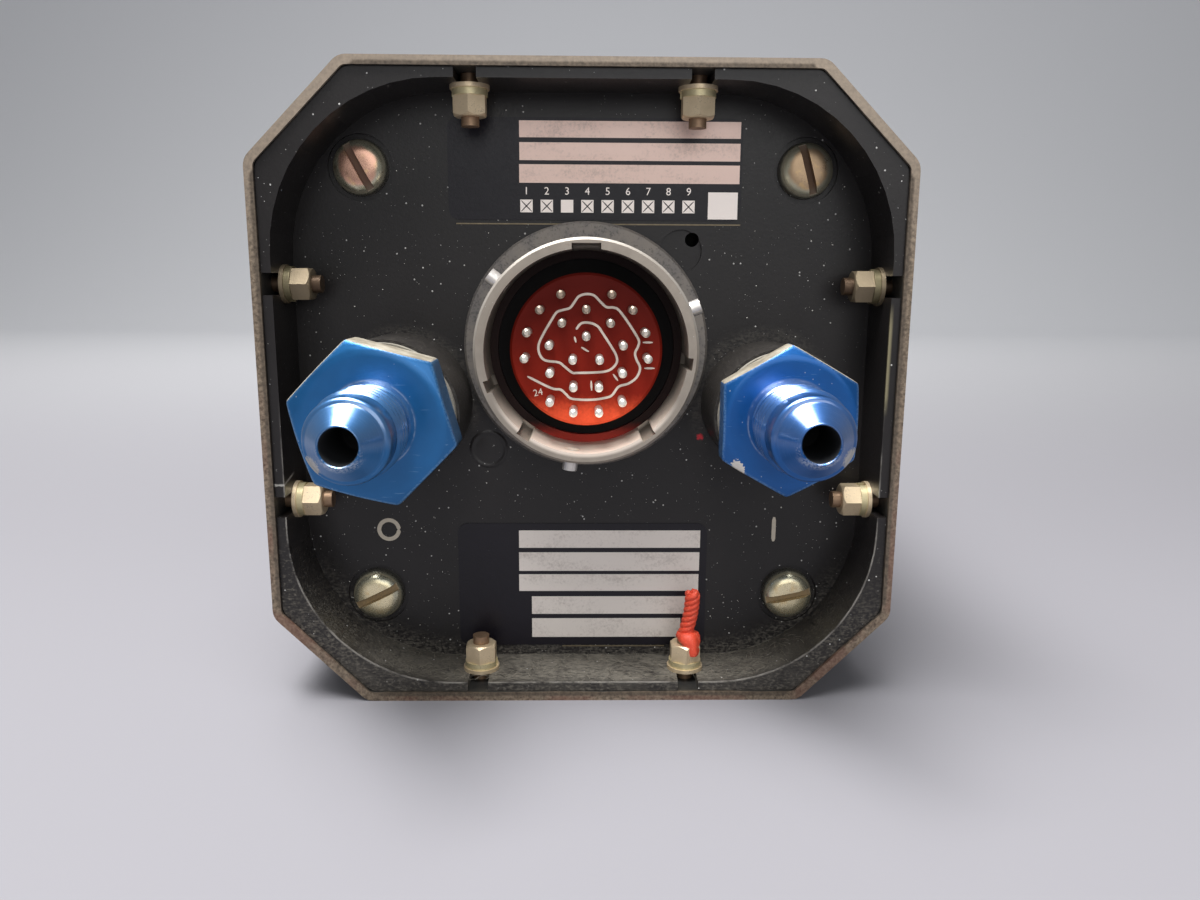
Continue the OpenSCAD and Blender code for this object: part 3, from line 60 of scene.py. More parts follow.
def grid_faces(rows, columns, around=True, flip=False):
    """Quads between the neighbouring rows and columns of a grid of points."""
    i = np.arange(rows - 1)[:, None]
    j = np.arange(columns if around else columns - 1)[None, :]
    a = i * columns + j
    b = i * columns + (j + 1) % columns
    c = (i + 1) * columns + (j + 1) % columns
    d = (i + 1) * columns + j
    corners = [d, c, b, a] if flip else [a, b, c, d]
    return np.stack(corners, -1).reshape(-1, 4).tolist()


# Materials are written as sums and products of terms. A term is one output of a shader
# node, and Paint.node adds any other kind of node. Every pattern is laid out in object
# coordinates, in millimetres, so that it moves with its piece.
class Term:
    """One output socket of a material, with arithmetic written as in Python."""

    def __init__(self, paint, socket):
        self.paint = paint
        self.socket = socket

    def math(self, operation, *others):
        """One Math node on this term and the others."""
        return self.paint.node("ShaderNodeMath", inputs=(self,) + others,
                               operation=operation)

    def __add__(self, other):
        return self.math("ADD", other)

    def __sub__(self, other):
        return self.math("SUBTRACT", other)

    def __rsub__(self, other):
        return self.math("MULTIPLY", -1.0).math("ADD", other)

    def __mul__(self, other):
        return self.math("MULTIPLY", other)

    def __truediv__(self, other):
        return self.math("DIVIDE", other)

    __radd__ = __add__
    __rmul__ = __mul__

    def over(self, other):
        """The larger of the two."""
        return self.math("MAXIMUM", other)

    def size(self):
        """Its size without its sign."""
        return self.math("ABSOLUTE")

    def hypot(self, other):
        """The long side of a right triangle with the two as its short sides."""
        return (self * self + other * other).math("SQRT")

    def step(self, low, high):
        """Smooth rise from 0 at low to 1 at high, or a fall where low is the larger."""
        if low > high:
            return 1.0 - self.step(high, low)
        return self.paint.node("ShaderNodeMapRange",
                               inputs={"Value": self, "From Min": low, "From Max": high},
                               interpolation_type="SMOOTHSTEP")


class Paint:
    """A procedural material with one Principled shader."""

    def __init__(self, name, **constants):
        self.material = bpy.data.materials.new(name)
        self.material.use_nodes = True
        self.tree = self.material.node_tree
        self.shader = self.tree.nodes["Principled BSDF"]
        for key, value in constants.items():
            self.set(key.replace("_", " ").title().replace("Ior", "IOR"), value)
        self.place = self.node("ShaderNodeTexCoord", output="Object")
        shifted = self.node("ShaderNodeVectorMath", inputs=(self.place, (0, RIM, AXIS)),
                            operation="SUBTRACT")
        self.point = self.node("ShaderNodeVectorMath", inputs=(shifted, (1 / MM,) * 3),
                               operation="MULTIPLY")
        self.x, self.y, self.z = (
            self.node("ShaderNodeSeparateXYZ", inputs=(self.point,), output=axis)
            for axis in "XYZ")

    def node(self, kind, inputs=(), output=0, **settings):
        """Adds one node, fills its inputs by place or by name, and returns an output."""
        node = self.tree.nodes.new(kind)
        for key, value in settings.items():
            setattr(node, key, value)
        pairs = inputs.items() if isinstance(inputs, dict) else enumerate(inputs)
        for key, value in pairs:
            self.fill(node.inputs[key], value)
        return Term(self, node.outputs[output])

    def fill(self, socket, value):
        """Links a term to a socket, or sets the socket to a plain value."""
        if isinstance(value, Term):
            self.tree.links.new(value.socket, socket)
        elif isinstance(value, tuple) and socket.type == "RGBA":
            socket.default_value = (*value[:3], 1)
        else:
            socket.default_value = value

    def set(self, name, value):
        """Fills one socket of the shader."""
        self.fill(self.shader.inputs[name], value)

    def noise(self, size, detail=3, stretch=None, seed=0):
        """Cloudy noise, about 0.5 on average, whose lumps are size millimetres wide."""
        where = self.point
        if stretch:
            where = self.node("ShaderNodeVectorMath", inputs=(where, stretch),
                              operation="MULTIPLY")
        return self.node("ShaderNodeTexNoise", noise_dimensions="4D", inputs={
            "Vector": where, "W": float(seed), "Scale": 1 / size, "Detail": detail,
            "Roughness": 0.6})

    def specks(self, size, share, seed=0):
        """Round specks in cells of a size in millimetres, on a share of the cells."""
        cells = {"Vector": self.node("ShaderNodeVectorMath", operation="ADD",
                                     inputs=(self.point, (seed * 7.3, seed * 3.1, 0))),
                 "Scale": 1 / size}
        near = self.node("ShaderNodeTexVoronoi", inputs=cells, output="Distance")
        tint = self.node("ShaderNodeTexVoronoi", inputs=cells, output="Color")
        pick = self.node("ShaderNodeSeparateColor", inputs=(tint,), output="Red")
        width = self.node("ShaderNodeSeparateColor", inputs=(tint,), output="Green")
        ragged = near + self.noise(size * 0.2, seed=seed) * 0.1 - 0.05
        return (ragged / (width * width * 0.11 + 0.035)).step(1.0, 0.5) * pick.step(
            1 - share, 1.01 - share)

    def mix(self, factor, a, b):
        """Colour a where factor is 0 and b where it is 1."""
        node = self.tree.nodes.new("ShaderNodeMix")
        node.data_type = "RGBA"
        for socket, value in zip((node.inputs[0], node.inputs[6], node.inputs[7]),
                                 (factor, a, b)):
            self.fill(socket, value)
        return Term(self, node.outputs[2])

    def layers(self, colour, *coats):
        """A colour under coats, each a share and its colour, with the last one on top."""
        for share, coat in coats:
            colour = self.mix(share, colour, coat)
        return colour

    def bump(self, height, distance):
        """Feeds a height to the shader's normal; distance is in millimetres."""
        normal = self.node("ShaderNodeBump", inputs={"Height": height, "Strength": 1.0,
                                                     "Distance": distance * MM})
        self.set("Normal", normal)


# The stage: a floor that grows paler away from the camera and curves up into the backdrop,
# the camera where the photograph was taken from, two soft lights high in front of the rim,
# and a broad fill beside the camera.
CAMERA_PLACE = (0.07, -111.43, 15.02)
CAMERA_TURN = (79.138, -0.286, -0.972)
FOCAL_SHARE = 0.75
FLOOR_NEAR_GREY, FLOOR_FAR_GREY = (0.215, 0.21, 0.225), (0.86, 0.86, 0.88)
FADE_NEAR, FADE_FAR = 60, 900
FLOOR_WIDTH, FLOOR_NEAR, FLOOR_FAR, BEND, WALL = 3.0, -0.9, 0.75, 0.5, 1.6
LIGHTS = [("high_key", (-0.10, -0.10, 0.62), (0, -0.02, 0.04), (0.58, 0.40), 6.5),
          ("key_core", (-0.12, -0.09, 0.60), (0, -0.02, 0.04), (0.44, 0.16), 5.0),
          ("camera_fill", (0.15, -0.75, 0.35), (0, 0, 0.04), (0.7, 0.5), 2.0)]
WORLD_COLOUR, WORLD_STRENGTH = (0.93, 0.96, 1.0, 1), 0.26


def mesh_object(name, points, faces, material, smooth=True):
    """A mesh object at the origin, from points in metres in the row frame."""
    mesh = bpy.data.meshes.new(name)
    mesh.from_pydata(np.asarray(points, float).tolist(), [],
                     [tuple(map(int, f)) for f in faces])
    mesh.polygons.foreach_set("use_smooth", np.full(len(mesh.polygons), smooth))
    mesh.materials.append(material)
    mesh.update()
    obj = bpy.data.objects.new(name, mesh)
    bpy.context.scene.collection.objects.link(obj)
    return obj


def lay_stage():
    """Floor, quarter-round bend and upright wall as one strip."""
    arc = [(FLOOR_FAR + BEND * math.sin(a), BEND * (1 - math.cos(a)))
           for a in np.linspace(0, math.pi / 2, 17)]
    line = np.array([(FLOOR_NEAR, 0)] + arc + [(FLOOR_FAR + BEND, WALL)])
    sides = np.array([-FLOOR_WIDTH / 2, FLOOR_WIDTH / 2])
    points = np.stack(np.broadcast_arrays(sides[None, :], line[:, :1], line[:, 1:]), -1)
    paint = Paint("floor", roughness=0.9, specular_ior_level=0.1)
    away = paint.y.step(FADE_NEAR, FADE_FAR)
    paint.set("Base Color", paint.mix(away, FLOOR_NEAR_GREY, FLOOR_FAR_GREY))
    mesh_object("floor", points.reshape(-1, 3),
                         grid_faces(len(line), 2, around=False), paint.material)


def lay_light(name, place, target, size, power):
    """A rectangular light that faces a target, both in metres with depths from the rim."""
    light = bpy.data.lights.new(name, "AREA")
    light.shape = "RECTANGLE"
    light.size, light.size_y = size
    light.energy = power
    lamp = bpy.data.objects.new(name, light)
    bpy.context.scene.collection.objects.link(lamp)
    from_here = np.array(target) - np.array(place)
    turn = math.atan2(from_here[1], from_here[0]) - math.pi / 2
    tilt = math.acos(-from_here[2] / np.linalg.norm(from_here))
    lamp.location = (place[0], place[1] + RIM, place[2])
    lamp.rotation_euler = (tilt, 0, turn)


def lay_camera():
    """The camera that was fitted to the photograph, its sensor at Blender's own width."""
    data = bpy.data.cameras.new("camera")
    data.lens = FOCAL_SHARE * data.sensor_width
    data.clip_start = 0.005
    camera = bpy.data.objects.new("camera", data)
    bpy.context.scene.collection.objects.link(camera)
    camera.location = row(CAMERA_PLACE)
    camera.rotation_euler = [math.radians(a) for a in CAMERA_TURN]
    bpy.context.scene.camera = camera


lay_stage()
lay_camera()
for light_row in LIGHTS:
    lay_light(*light_row)
bpy.context.scene.view_settings.view_transform = "Standard"
world = bpy.data.worlds.new("studio")
world.use_nodes = True
world.node_tree.nodes["Background"].inputs["Color"].default_value = WORLD_COLOUR
world.node_tree.nodes["Background"].inputs["Strength"].default_value = WORLD_STRENGTH
bpy.context.scene.world = world


# The case sleeve: folded sheet with worn black paint outside, and a rear rim rubbed bare
# to grey-brown metal. The paint is thin and scuffed along the folds near the rim.
HALF = (sleeve_high.x - sleeve_low.x) / 2 / MM
FOLD = 67.6


def dress(node, material):
    """Gives a CAD node its material."""
    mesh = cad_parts[node].data
    mesh.materials.clear()
    mesh.materials.append(material)


def paint_sleeve():
    """Black paint, bare where the rim, the folds and the last millimetres are rubbed."""
    paint = Paint("sleeve_paint")
    wide = paint.noise(6, seed=1)
    fine = paint.noise(0.35, detail=6, seed=2)
    streak = paint.noise(0.5, stretch=(1, 0.12, 1), seed=3)
    straight = paint.x.size().over(paint.z.size())
    slant = paint.x.size() + paint.z.size()
    fold = slant.step(FOLD - 0.7, FOLD)
    outside = straight.step(HALF - 0.5, HALF - 0.3).over(slant.step(FOLD - 0.4, FOLD - 0.1))
    edge = (paint.y - wide * 1.2 + fine * 0.5).step(0.25, -0.25)
    rubbed = (paint.y + wide * 14 + streak * 6).step(9.5, 6.5) * outside
    folded = (fine + wide - paint.y * 0.012).step(1.05, 1.25) * fold * outside
    bare = edge.over(rubbed * 0.85).over(folded)
    metal = paint.mix((streak + fine).step(0.7, 1.3), (0.075, 0.056, 0.04), (0.29, 0.225, 0.16))
    lip = straight.over(slant * (HALF / FOLD)).step(HALF - 0.8, HALF - 0.45)
    metal = paint.layers(
        metal,
        ((1.0 - lip) * 0.6, (0.05, 0.038, 0.028)),
        # Painted highlight: the lip is made paler along its top, where the light from above
        # falls.
        (lip * paint.z.step(12, 36) * 0.6, (0.34, 0.28, 0.22)),
        (lip * paint.z.step(10, -20) * wide.step(0.4, 0.6) * 0.4, (0.16, 0.055, 0.04)))
    black = paint.mix(paint.noise(2.5, seed=4), (0.012, 0.012, 0.012),
                      (0.03, 0.029, 0.027))
    dust = paint.specks(0.6, 0.35, seed=2) * 0.5
    paint.set("Base Color", paint.mix(bare, paint.mix(dust, black, (0.4, 0.39, 0.36)),
                                      metal))
    paint.set("Metallic", bare * 0.35)
    paint.set("Roughness", bare * 0.05 + fine * 0.25 + 0.3)
    paint.bump(fine * 0.5 + streak, 0.02)
    return paint.material


dress("case_sleeve", paint_sleeve())


# The rear casting: a cup in blue-black satin enamel. Its mouth has a painted highlight along
# the lower inner edge, the pocket floor carries brown dust, and small pale specks lie all over
# the plate.
MOUTH_HALF, MOUTH_ROUND = 37.95, 20.5
PORT_SIDE, PORT_HEIGHT = 24.3, -1.65
RED_SPECK_X, RED_SPECK_Z = 15.9, -6.3


def plain(name, colour, roughness, metallic=0.0, grain=0.0, grain_size=0.4):
    """A material of one colour with a little cloudiness in its roughness and colour."""
    paint = Paint(name, metallic=metallic)
    cloud = paint.noise(grain_size, seed=len(name))
    dark = tuple(c * (1 - grain) for c in colour)
    paint.set("Base Color", paint.mix(cloud, dark, colour))
    paint.set("Roughness", cloud * 0.2 + (roughness - 0.1))
    return paint.material


def paint_casting():
    """Enamel laid out by the distance from the mouth, a square with well-rounded corners."""
    paint = Paint("casting_enamel", specular_ior_level=0.35)
    core = MOUTH_HALF - MOUTH_ROUND
    px = (paint.x.size() - core).over(0.0)
    pz = (paint.z.size() - core).over(0.0)
    mouth = px.hypot(pz) - MOUTH_ROUND
    wide = paint.noise(5, seed=5)
    fine = paint.noise(0.4, detail=6, seed=6)
    fibre = paint.noise(0.22, detail=4, stretch=(0.35, 1, 1), seed=7)
    wall = mouth.step(-0.25, -0.08)
    low = paint.z.step(-20.0, -34.0)
    floor_dust = wall * paint.z.step(-31.0, -37.0) * (paint.y.step(0.2, 2.0) * 0.75 + 0.25) * (
        fibre + wide * 0.5).step(0.45, 0.95)
    sparse = wall * paint.z.step(-12.0, -30.0) * (fine + fibre).step(1.0, 1.3)
    bx, bz = paint.x.size() - PORT_SIDE, paint.z - PORT_HEIGHT
    boss_dust = bx.hypot(bz).step(10.8, 9.4) * (bz - bx * 0.8).step(-2, 6) * (
        fine + fibre).step(0.8, 1.25)
    plate_dust = (wide * 0.7 + fine * 0.6 - paint.z.step(-24, 12) * 0.12).step(0.72, 1.05)
    near_wall = mouth.step(-3.6, -0.4) * low
    fall = near_wall * (fine + fibre).step(0.85, 1.3)
    dust = floor_dust.over(plate_dust * 0.18).over(fall * 0.7).over(
        sparse * (paint.x.step(20, -20) * 0.5 + 0.3)).over(
        boss_dust * 0.22)
    bright = (paint.specks(0.5, 0.4, seed=1) * wide.step(0.35, 0.6)).over(
        paint.specks(1.1, 0.35, seed=3)).over(
        paint.specks(0.7, 0.6, seed=12) * fibre.step(0.42, 0.58) * 0.7)
    colour = paint.mix(paint.noise(7, seed=8), (0.0085, 0.0072, 0.0072),
                       (0.0175, 0.0153, 0.015))
    colour = paint.layers(
        colour,
        (dust, (0.155, 0.14, 0.115)),
        (bright * 0.8, (0.62, 0.61, 0.58)))
    # Painted highlight: a thin pale line along the lower half of the mouth's inner edge.
    edge = (mouth.size() + fine * 0.2).step(0.3, 0.18) * paint.y.step(0.75, 0.6) * (
        paint.noise(3, seed=9).step(0.35, 0.6)) * paint.z.step(2, -18)
    hair = wall * paint.x.step(-36, -37) * paint.y.step(5.0, 3.0) * (
        (paint.z + 11.2 - paint.y * 0.2).size() + fine * 0.3).step(0.36, 0.2)
    side = wall * paint.x.step(36.5, 37.6) * mouth.step(0.5, 0.15)
    streak = side * paint.y.step(0.9, 0.5) * (paint.z + wide * 3).step(-1.0, 2.5) * (
        paint.z + wide * 3).step(13.5, 10.5)
    red_x, red_z = paint.x - RED_SPECK_X, paint.z - RED_SPECK_Z
    red = (red_x * red_x + red_z * red_z + fine * 0.9).step(0.75, 0.45)
    colour = paint.layers(
        colour,
        (edge * 0.4, (0.5, 0.47, 0.42)),
        (streak * 0.8, (0.25, 0.22, 0.13)),
        (hair * 0.6, (0.5, 0.48, 0.44)),
        (red, (0.5, 0.02, 0.03)))
    paint.set("Base Color", colour)
    paint.set("Roughness", dust * 0.5 + fine * 0.22 + 0.24)
    paint.bump(fine * 0.6 + dust * 0.8 + bright, 0.03)
    return paint.material


CASTING = paint_casting()
dress("rear_casting", CASTING)
dress("case_gasket", plain("gasket_rubber", (0.02, 0.02, 0.02), 0.7))


# The blanking plug: pressed into the plate and painted over with it, so that it shows only
# as a soft round mound.
PLATE = 9.3
PLUG_WIDE, PLUG_HIGH, PLUG_SIDES = 2.9, 0.16, 48


def piece(name, points, faces, material, body="case", smooth=True):
    """A mesh object from points in millimetres, riding on a body of the frame."""
    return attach(mesh_object(name, row(points), faces, material, smooth), body)


def add_plug(wide, high):
    """A low mound, high (1 - share^2)^2 for a share of its radius, with a ridge at 0.8."""
    low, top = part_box("blanking_plug")
    a = np.linspace(0, 2 * math.pi, PLUG_SIDES, endpoint=False)
    share = np.linspace(1, 0.02, 24)[:, None]
    points = np.stack([(low.x + top.x) / 2 / MM + wide * share * np.cos(a),
                       PLATE + 0.02 - high * (1 - share ** 2) ** 2
                       - high * np.exp(-((share - 0.8) / 0.08) ** 2) + 0 * a,
                       ((low.z + top.z) / 2 - AXIS) / MM + wide * share * np.sin(a)], -1)
    points = points.reshape(-1, 3)
    faces = grid_faces(len(share), len(a)) + [list(range(len(points) - len(a), len(points)))]
    plug = piece("plug_mound", points, faces, CASTING)
    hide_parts("blanking_plug")


add_plug(PLUG_WIDE, PLUG_HIGH)


# The two flared tube fittings, anodised blue: a nose with its 37 degree cone, a real
# screw thread, and a hexagon whose corners are turned to a cone at the rear face. Their
# upward flats are buried in beige dust.
THREAD_PITCH, THREAD_DEPTH, THREAD_R, COLLAR_R, NECK_R = 1.27, 0.42, 5.0, 4.65, 4.4
NOSE_LEN, CONE_ANGLE, BORE_R, LIP_R = 13.97, 37, 1.96, 2.3
HEX_BACK, HEX_CHAMFER = -4.4, 26
STATIC_FLATS, STATIC_THICK, STATIC_TURN = 17.46, 5.2, 45.4
PITOT_FLATS, PITOT_THICK, PITOT_TURN = 15.875, 3.3, 30.2
CHIP_X, CHIP_Z = 18.3, -7.1


def hexagon(angles, flats, turn, rounding):
    """Radius of a hexagon at each angle, its corners rounded by a power mean."""
    wrapped = (np.degrees(angles) - turn) % 60 - 30
    sharp = flats / 2 / np.cos(np.radians(wrapped))
    corner = flats / 2 / math.cos(math.pi / 6)
    return sharp - rounding * np.exp(-(corner - sharp) / rounding)


def fitting_surface(flats, thick, turn):
    """Rows of radius and depth round the axis, from inside the bore to the hex back.

    The thread's depth is a ramped triangle wave of (depth / pitch - turns round the axis).
    Behind the nose each row's radius is that of the hexagon, and where it passes the circle
    inside the hexagon, the row falls back by the tangent of the chamfer's angle.
    """
    angles = np.linspace(0, 2 * math.pi, 240, endpoint=False)
    one = np.ones_like(angles)
    face = HEX_BACK - thick
    tip = face - NOSE_LEN
    rows = [(1.85, tip + 9), (BORE_R, tip + 8.5), (BORE_R, tip + 0.25), (2.02, tip + 0.07),
            (2.12, tip), (2.22, tip + 0.05), (LIP_R, tip + 0.16)]
    rows += [(LIP_R + t * math.tan(math.radians(CONE_ANGLE)), tip + 0.16 + t)
             for t in np.linspace(0.1, 2.3, 12)]
    rows += [(4.09, tip + 2.5), (4.06, tip + 2.62), (3.95, tip + 2.68), (3.95, tip + 2.84),
             (4.3, tip + 2.92), (4.56, tip + 3.12), (COLLAR_R, tip + 3.4),
             (COLLAR_R, tip + 5.95)]
    rows = [(r * one, y * one) for r, y in rows]
    steps = np.linspace(tip + 6.0, face - 2.6, 110)
    for y in steps:
        wave = np.abs(((y - tip) / THREAD_PITCH - angles / (2 * math.pi)) % 1 - 0.5) * 2
        depth = THREAD_DEPTH * np.clip(1.35 * (1 - wave) - 0.1, 0, 1)
        top = min(THREAD_R, COLLAR_R + 0.9 * (y - tip - 6.0),
                  NECK_R + 1.5 * (face - 2.55 - y))
        rows.append((np.minimum(THREAD_R - depth, top), y * one))
    rows += [(r * one, y * one) for r, y in
             [(NECK_R, face - 2.4), (NECK_R, face - 0.3), (4.6, face - 0.06), (5.3, face)]]
    rim = hexagon(angles, flats, turn, 0.1)
    circle = flats / 2 - 0.2
    for share in np.linspace(0, 1, 5)[1:]:
        rows.append((5.3 + (circle - 5.3) * share * one, face * one))
    slope = math.tan(math.radians(HEX_CHAMFER))
    inner = np.minimum(rim, circle)
    for share in np.linspace(0, 1, 4)[1:]:
        r = inner + (rim - 0.12 - inner) * share
        rows.append((np.maximum(r, inner - 0.12), face + np.maximum(r - circle, 0) * slope))
    drop = face + np.maximum(rim - circle, 0) * slope
    rows += [(rim - 0.035, drop + 0.035), (rim, drop + 0.12), (rim, drop + 0.8),
             (rim, HEX_BACK - 0.15 + 0 * rim), (rim - 0.12, HEX_BACK + 0 * rim),
             (5.0 * one, HEX_BACK * one)]
    return angles, rows


def paint_fitting(name, blue, side, seed, flats, turn):
    """Anodised blue, worn on edges and thread crests, with dust on the upward flats, and
    painted near-black inside the bore as shade.
    """
    paint = Paint(name, coat_roughness=0.2, coat_ior=2.2)
    dx = paint.x - side * PORT_SIDE
    dz = paint.z - PORT_HEIGHT
    r = dx.hypot(dz)
    wide = paint.noise(2.2, seed=seed)
    fine = paint.noise(0.25, detail=6, seed=seed + 1)
    turned = paint.noise(0.3, stretch=(0.2, 4, 0.2), seed=seed + 2)
    crest = (r - fine * 0.18).step(4.84, 4.94) * r.step(5.2, 5.05) * wide.step(0.42, 0.6)
    nose = r.step(5.35, 5.15)
    first, second, third = (dx * math.cos(a) + dz * math.sin(a)
                            for a in np.radians([turn + 30, turn + 90, turn + 150]).tolist())
    rim = first.size().over(second.size()).over(third.size()).step(flats / 2 - 0.4,
                                                                   flats / 2 - 0.1)
    scratch = paint.noise(0.3, stretch=(0.12, 1, 1.5), seed=seed + 3).step(0.66, 0.74)
    upward = first.over(second).step(flats / 2 - 0.14, flats / 2 - 0.05)
    flat = upward * (fine + wide).step(0.55, 0.8)
    speck = paint.specks(0.8, 0.4, seed=seed) * (1.0 - nose) * 0.7
    tip = paint.y.step(-20.9 if side > 0 else -22.9, -21.4 if side > 0 else -23.4)
    lip = r.step(3.0, 2.4) * dz.step(-1.0, -1.9) * fine.step(0.42, 0.55)
    chip = (tip * fine.step(0.5, 0.62) * dz.step(0.5, -1.0) * 0.6).over(lip)
    # Painted shade: the bore's wall inside the nose is made near-black.
    bore = r.step(2.03, 1.98) * nose
    scuff_x, scuff_z = (3.9, -1.9) if side > 0 else (-3.6, -2.5)
    ux, uz = dx - scuff_x, dz - scuff_z
    scuff = (ux * ux + uz * uz + fine * 4.0).step(3.6, 2.6) * nose
    colour = paint.mix(wide, tuple(c * 0.75 for c in blue), blue)
    colour = paint.layers(
        colour,
        (turned.step(0.5, 0.9) * nose * 0.15, (0.35, 0.55, 0.9)),
        (crest * 0.3, (0.62, 0.68, 0.78)),
        (rim * fine.step(0.35, 0.6) * 0.35, (0.26, 0.46, 0.68)),
        (scratch * (1.0 - nose) * 0.3, (0.26, 0.46, 0.68)),
        (chip * 0.5, (0.6, 0.66, 0.75)),
        (scuff * 0.8, (0.42, 0.39, 0.33)),
        (bore, (0.001, 0.002, 0.004)))
    if side > 0:
        cx = (paint.x - CHIP_X) / 0.8
        cz = paint.z - CHIP_Z + (paint.x - CHIP_X) * 0.5
        gap = (cx * cx + cz * cz + fine * 3.4 - 1.7).step(1.0, 0.8) * (1.0 - nose)
        colour = paint.mix(gap, colour, (0.66, 0.63, 0.57))
    colour = paint.layers(
        colour,
        (flat, paint.mix(wide.step(0.3, 0.7), (0.16, 0.135, 0.095), (0.33, 0.30, 0.24))),
        (speck, (0.55, 0.6, 0.66)))
    paint.set("Base Color", colour)
    paint.set("Metallic", (0.75 - flat * 0.75) * (1.0 - scuff) * (1.0 - bore))
    upper = nose * dz.step(-1.2, 1.2)
    paint.set("Coat Weight", (upper * 0.85 + 0.12) * (1.0 - flat) * (1.0 - scuff.over(bore)))
    paint.set("Roughness", (wide * 0.12 + fine * 0.1 + 0.26).over(flat.over(bore) * 0.9))
    paint.bump(turned * 0.5 + flat * fine * 2 + fine * 0.2, 0.015)
    return paint.material


def add_fitting(name, node, side, flats, thick, turn, material):
    """One fitting in place of its CAD node, and a near-black disc of painted shade that ends
    its bore.
    """
    angles, rows = fitting_surface(flats, thick, turn)
    r = np.array([a for a, _ in rows])
    y = np.array([b for _, b in rows])
    points = np.stack([side * PORT_SIDE + r * np.cos(angles), y,
                       PORT_HEIGHT + r * np.sin(angles)], -1)
    obj = piece(name, points.reshape(-1, 3),
                grid_faces(len(rows), len(angles), flip=True), material)
    obj.data.set_sharp_from_angle(angle=math.radians(38))
    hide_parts(node)
    a = angles[::10]
    end = np.stack([side * PORT_SIDE + 1.9 * np.cos(a), np.full(len(a), y[0, 0] - 0.5),
                    PORT_HEIGHT + 1.9 * np.sin(a)], -1)
    # Painted shade: a near-black disc deep in the bore.
    dark = piece(name + "_bore", end, [list(range(len(a)))],
                 plain(name + "_dark", (0.002, 0.002, 0.003), 0.8))


add_fitting("static_nose", "static_fitting", -1, STATIC_FLATS, STATIC_THICK, STATIC_TURN,
            paint_fitting("static_blue", (0.011, 0.13, 0.35), -1, 11, STATIC_FLATS,
                          STATIC_TURN))
add_fitting("pitot_nose", "pitot_fitting", 1, PITOT_FLATS, PITOT_THICK, PITOT_TURN,
            paint_fitting("pitot_blue", (0.004, 0.10, 0.35), 1, 21, PITOT_FLATS, PITOT_TURN))


def paint_washers():
    """Dull metal under a coat of dust and fibres, thickest on top."""
    paint = Paint("washer_dust")
    fine = paint.noise(0.3, detail=6, seed=31)
    wide = paint.noise(1.6, seed=32)
    top = (paint.z - PORT_HEIGHT - (paint.x.size() - PORT_SIDE) * 0.8).step(-3, 4)
    dust = (fine * 0.5 + wide * 0.3 + top * 0.6).step(0.65, 1.1)
    paint.set("Base Color", paint.mix(dust, (0.008, 0.008, 0.008), (0.24, 0.22, 0.18)))
    paint.set("Roughness", 0.9)
    paint.bump(fine, 0.08)
    return paint.material


dress("fitting_washers", paint_washers())


# The receptacle: worn olive-grey shell, red insert with its white winding line, silver
# contacts, a soft red seal, and three bayonet pins.
PLUG_X, PLUG_Z = 0.3, 6.05
CONTACT_PITCH = 3.3
INSERT_FACE = 1.5


def paint_shell():
    """Smooth grey-brown plating, stained in places, with a painted highlight on the upper outer
    bevel, painted shade high in the barrel and painted light on its lower inner wall.
    """
    paint = Paint("shell_plating")
    dx = paint.x - PLUG_X
    dz = paint.z - PLUG_Z
    r = dx.hypot(dz)
    wide = paint.noise(2.5, seed=41)
    fine = paint.noise(0.3, detail=4, seed=42)
    bevel = r.step(13.3, 13.45) * paint.y.step(-2.6, -2.75)
    inside = r.step(12.95, 12.5)
    deep = inside * paint.y.step(-2.5, 1.0) * dz.step(-6, 2)
    stain = (fine * 0.5 + wide * 1.3).step(1.0, 1.2)
    outer = r.step(13.2, 13.5)
    grime = outer * paint.y.step(3.5, 7.9) * (wide.step(0.3, 0.7) * 0.4 + 0.5)
    pepper = outer * (fine + wide * 0.4).step(0.72, 0.86) * paint.y.step(1, 6)
    colour = paint.mix(wide, (0.21, 0.18, 0.148), (0.39, 0.34, 0.285))
    brown = r.step(13.1, 12.2) * dx.step(-3, -11) * dz.step(-9, 3) * wide.step(0.3, 0.6)
    colour = paint.layers(
        colour,
        (brown * 0.25, (0.14, 0.09, 0.065)),
        # Painted highlight: the upper half of the outer bevel is made pale.
        (bevel * dz.step(-6, 6) * 0.7, (0.42, 0.39, 0.35)),
        (stain * 0.5, (0.16, 0.12, 0.095)),
        (grime, (0.13, 0.122, 0.118)),
        (pepper * 0.6, (0.05, 0.046, 0.045)),
        # Painted shade: the barrel's inner wall is darkened above, deep inside.
        (deep * 0.4, (0.06, 0.045, 0.035)),
        # Painted light: the barrel's lower inner wall is made pale beige, where the light from
        # above falls.
        (inside * dz.step(-5, -10) * 0.95, (0.82, 0.71, 0.60)),
        (paint.specks(0.8, 0.2, seed=4) * 0.4, (0.8, 0.78, 0.74)))
    paint.set("Base Color", colour)
    paint.set("Metallic", 0.5 - stain * 0.3)
    paint.set("Roughness", fine * 0.12 + bevel * 0.1 + 0.38)
    paint.bump(fine * 0.3 + wide, 0.02)
    return paint.material


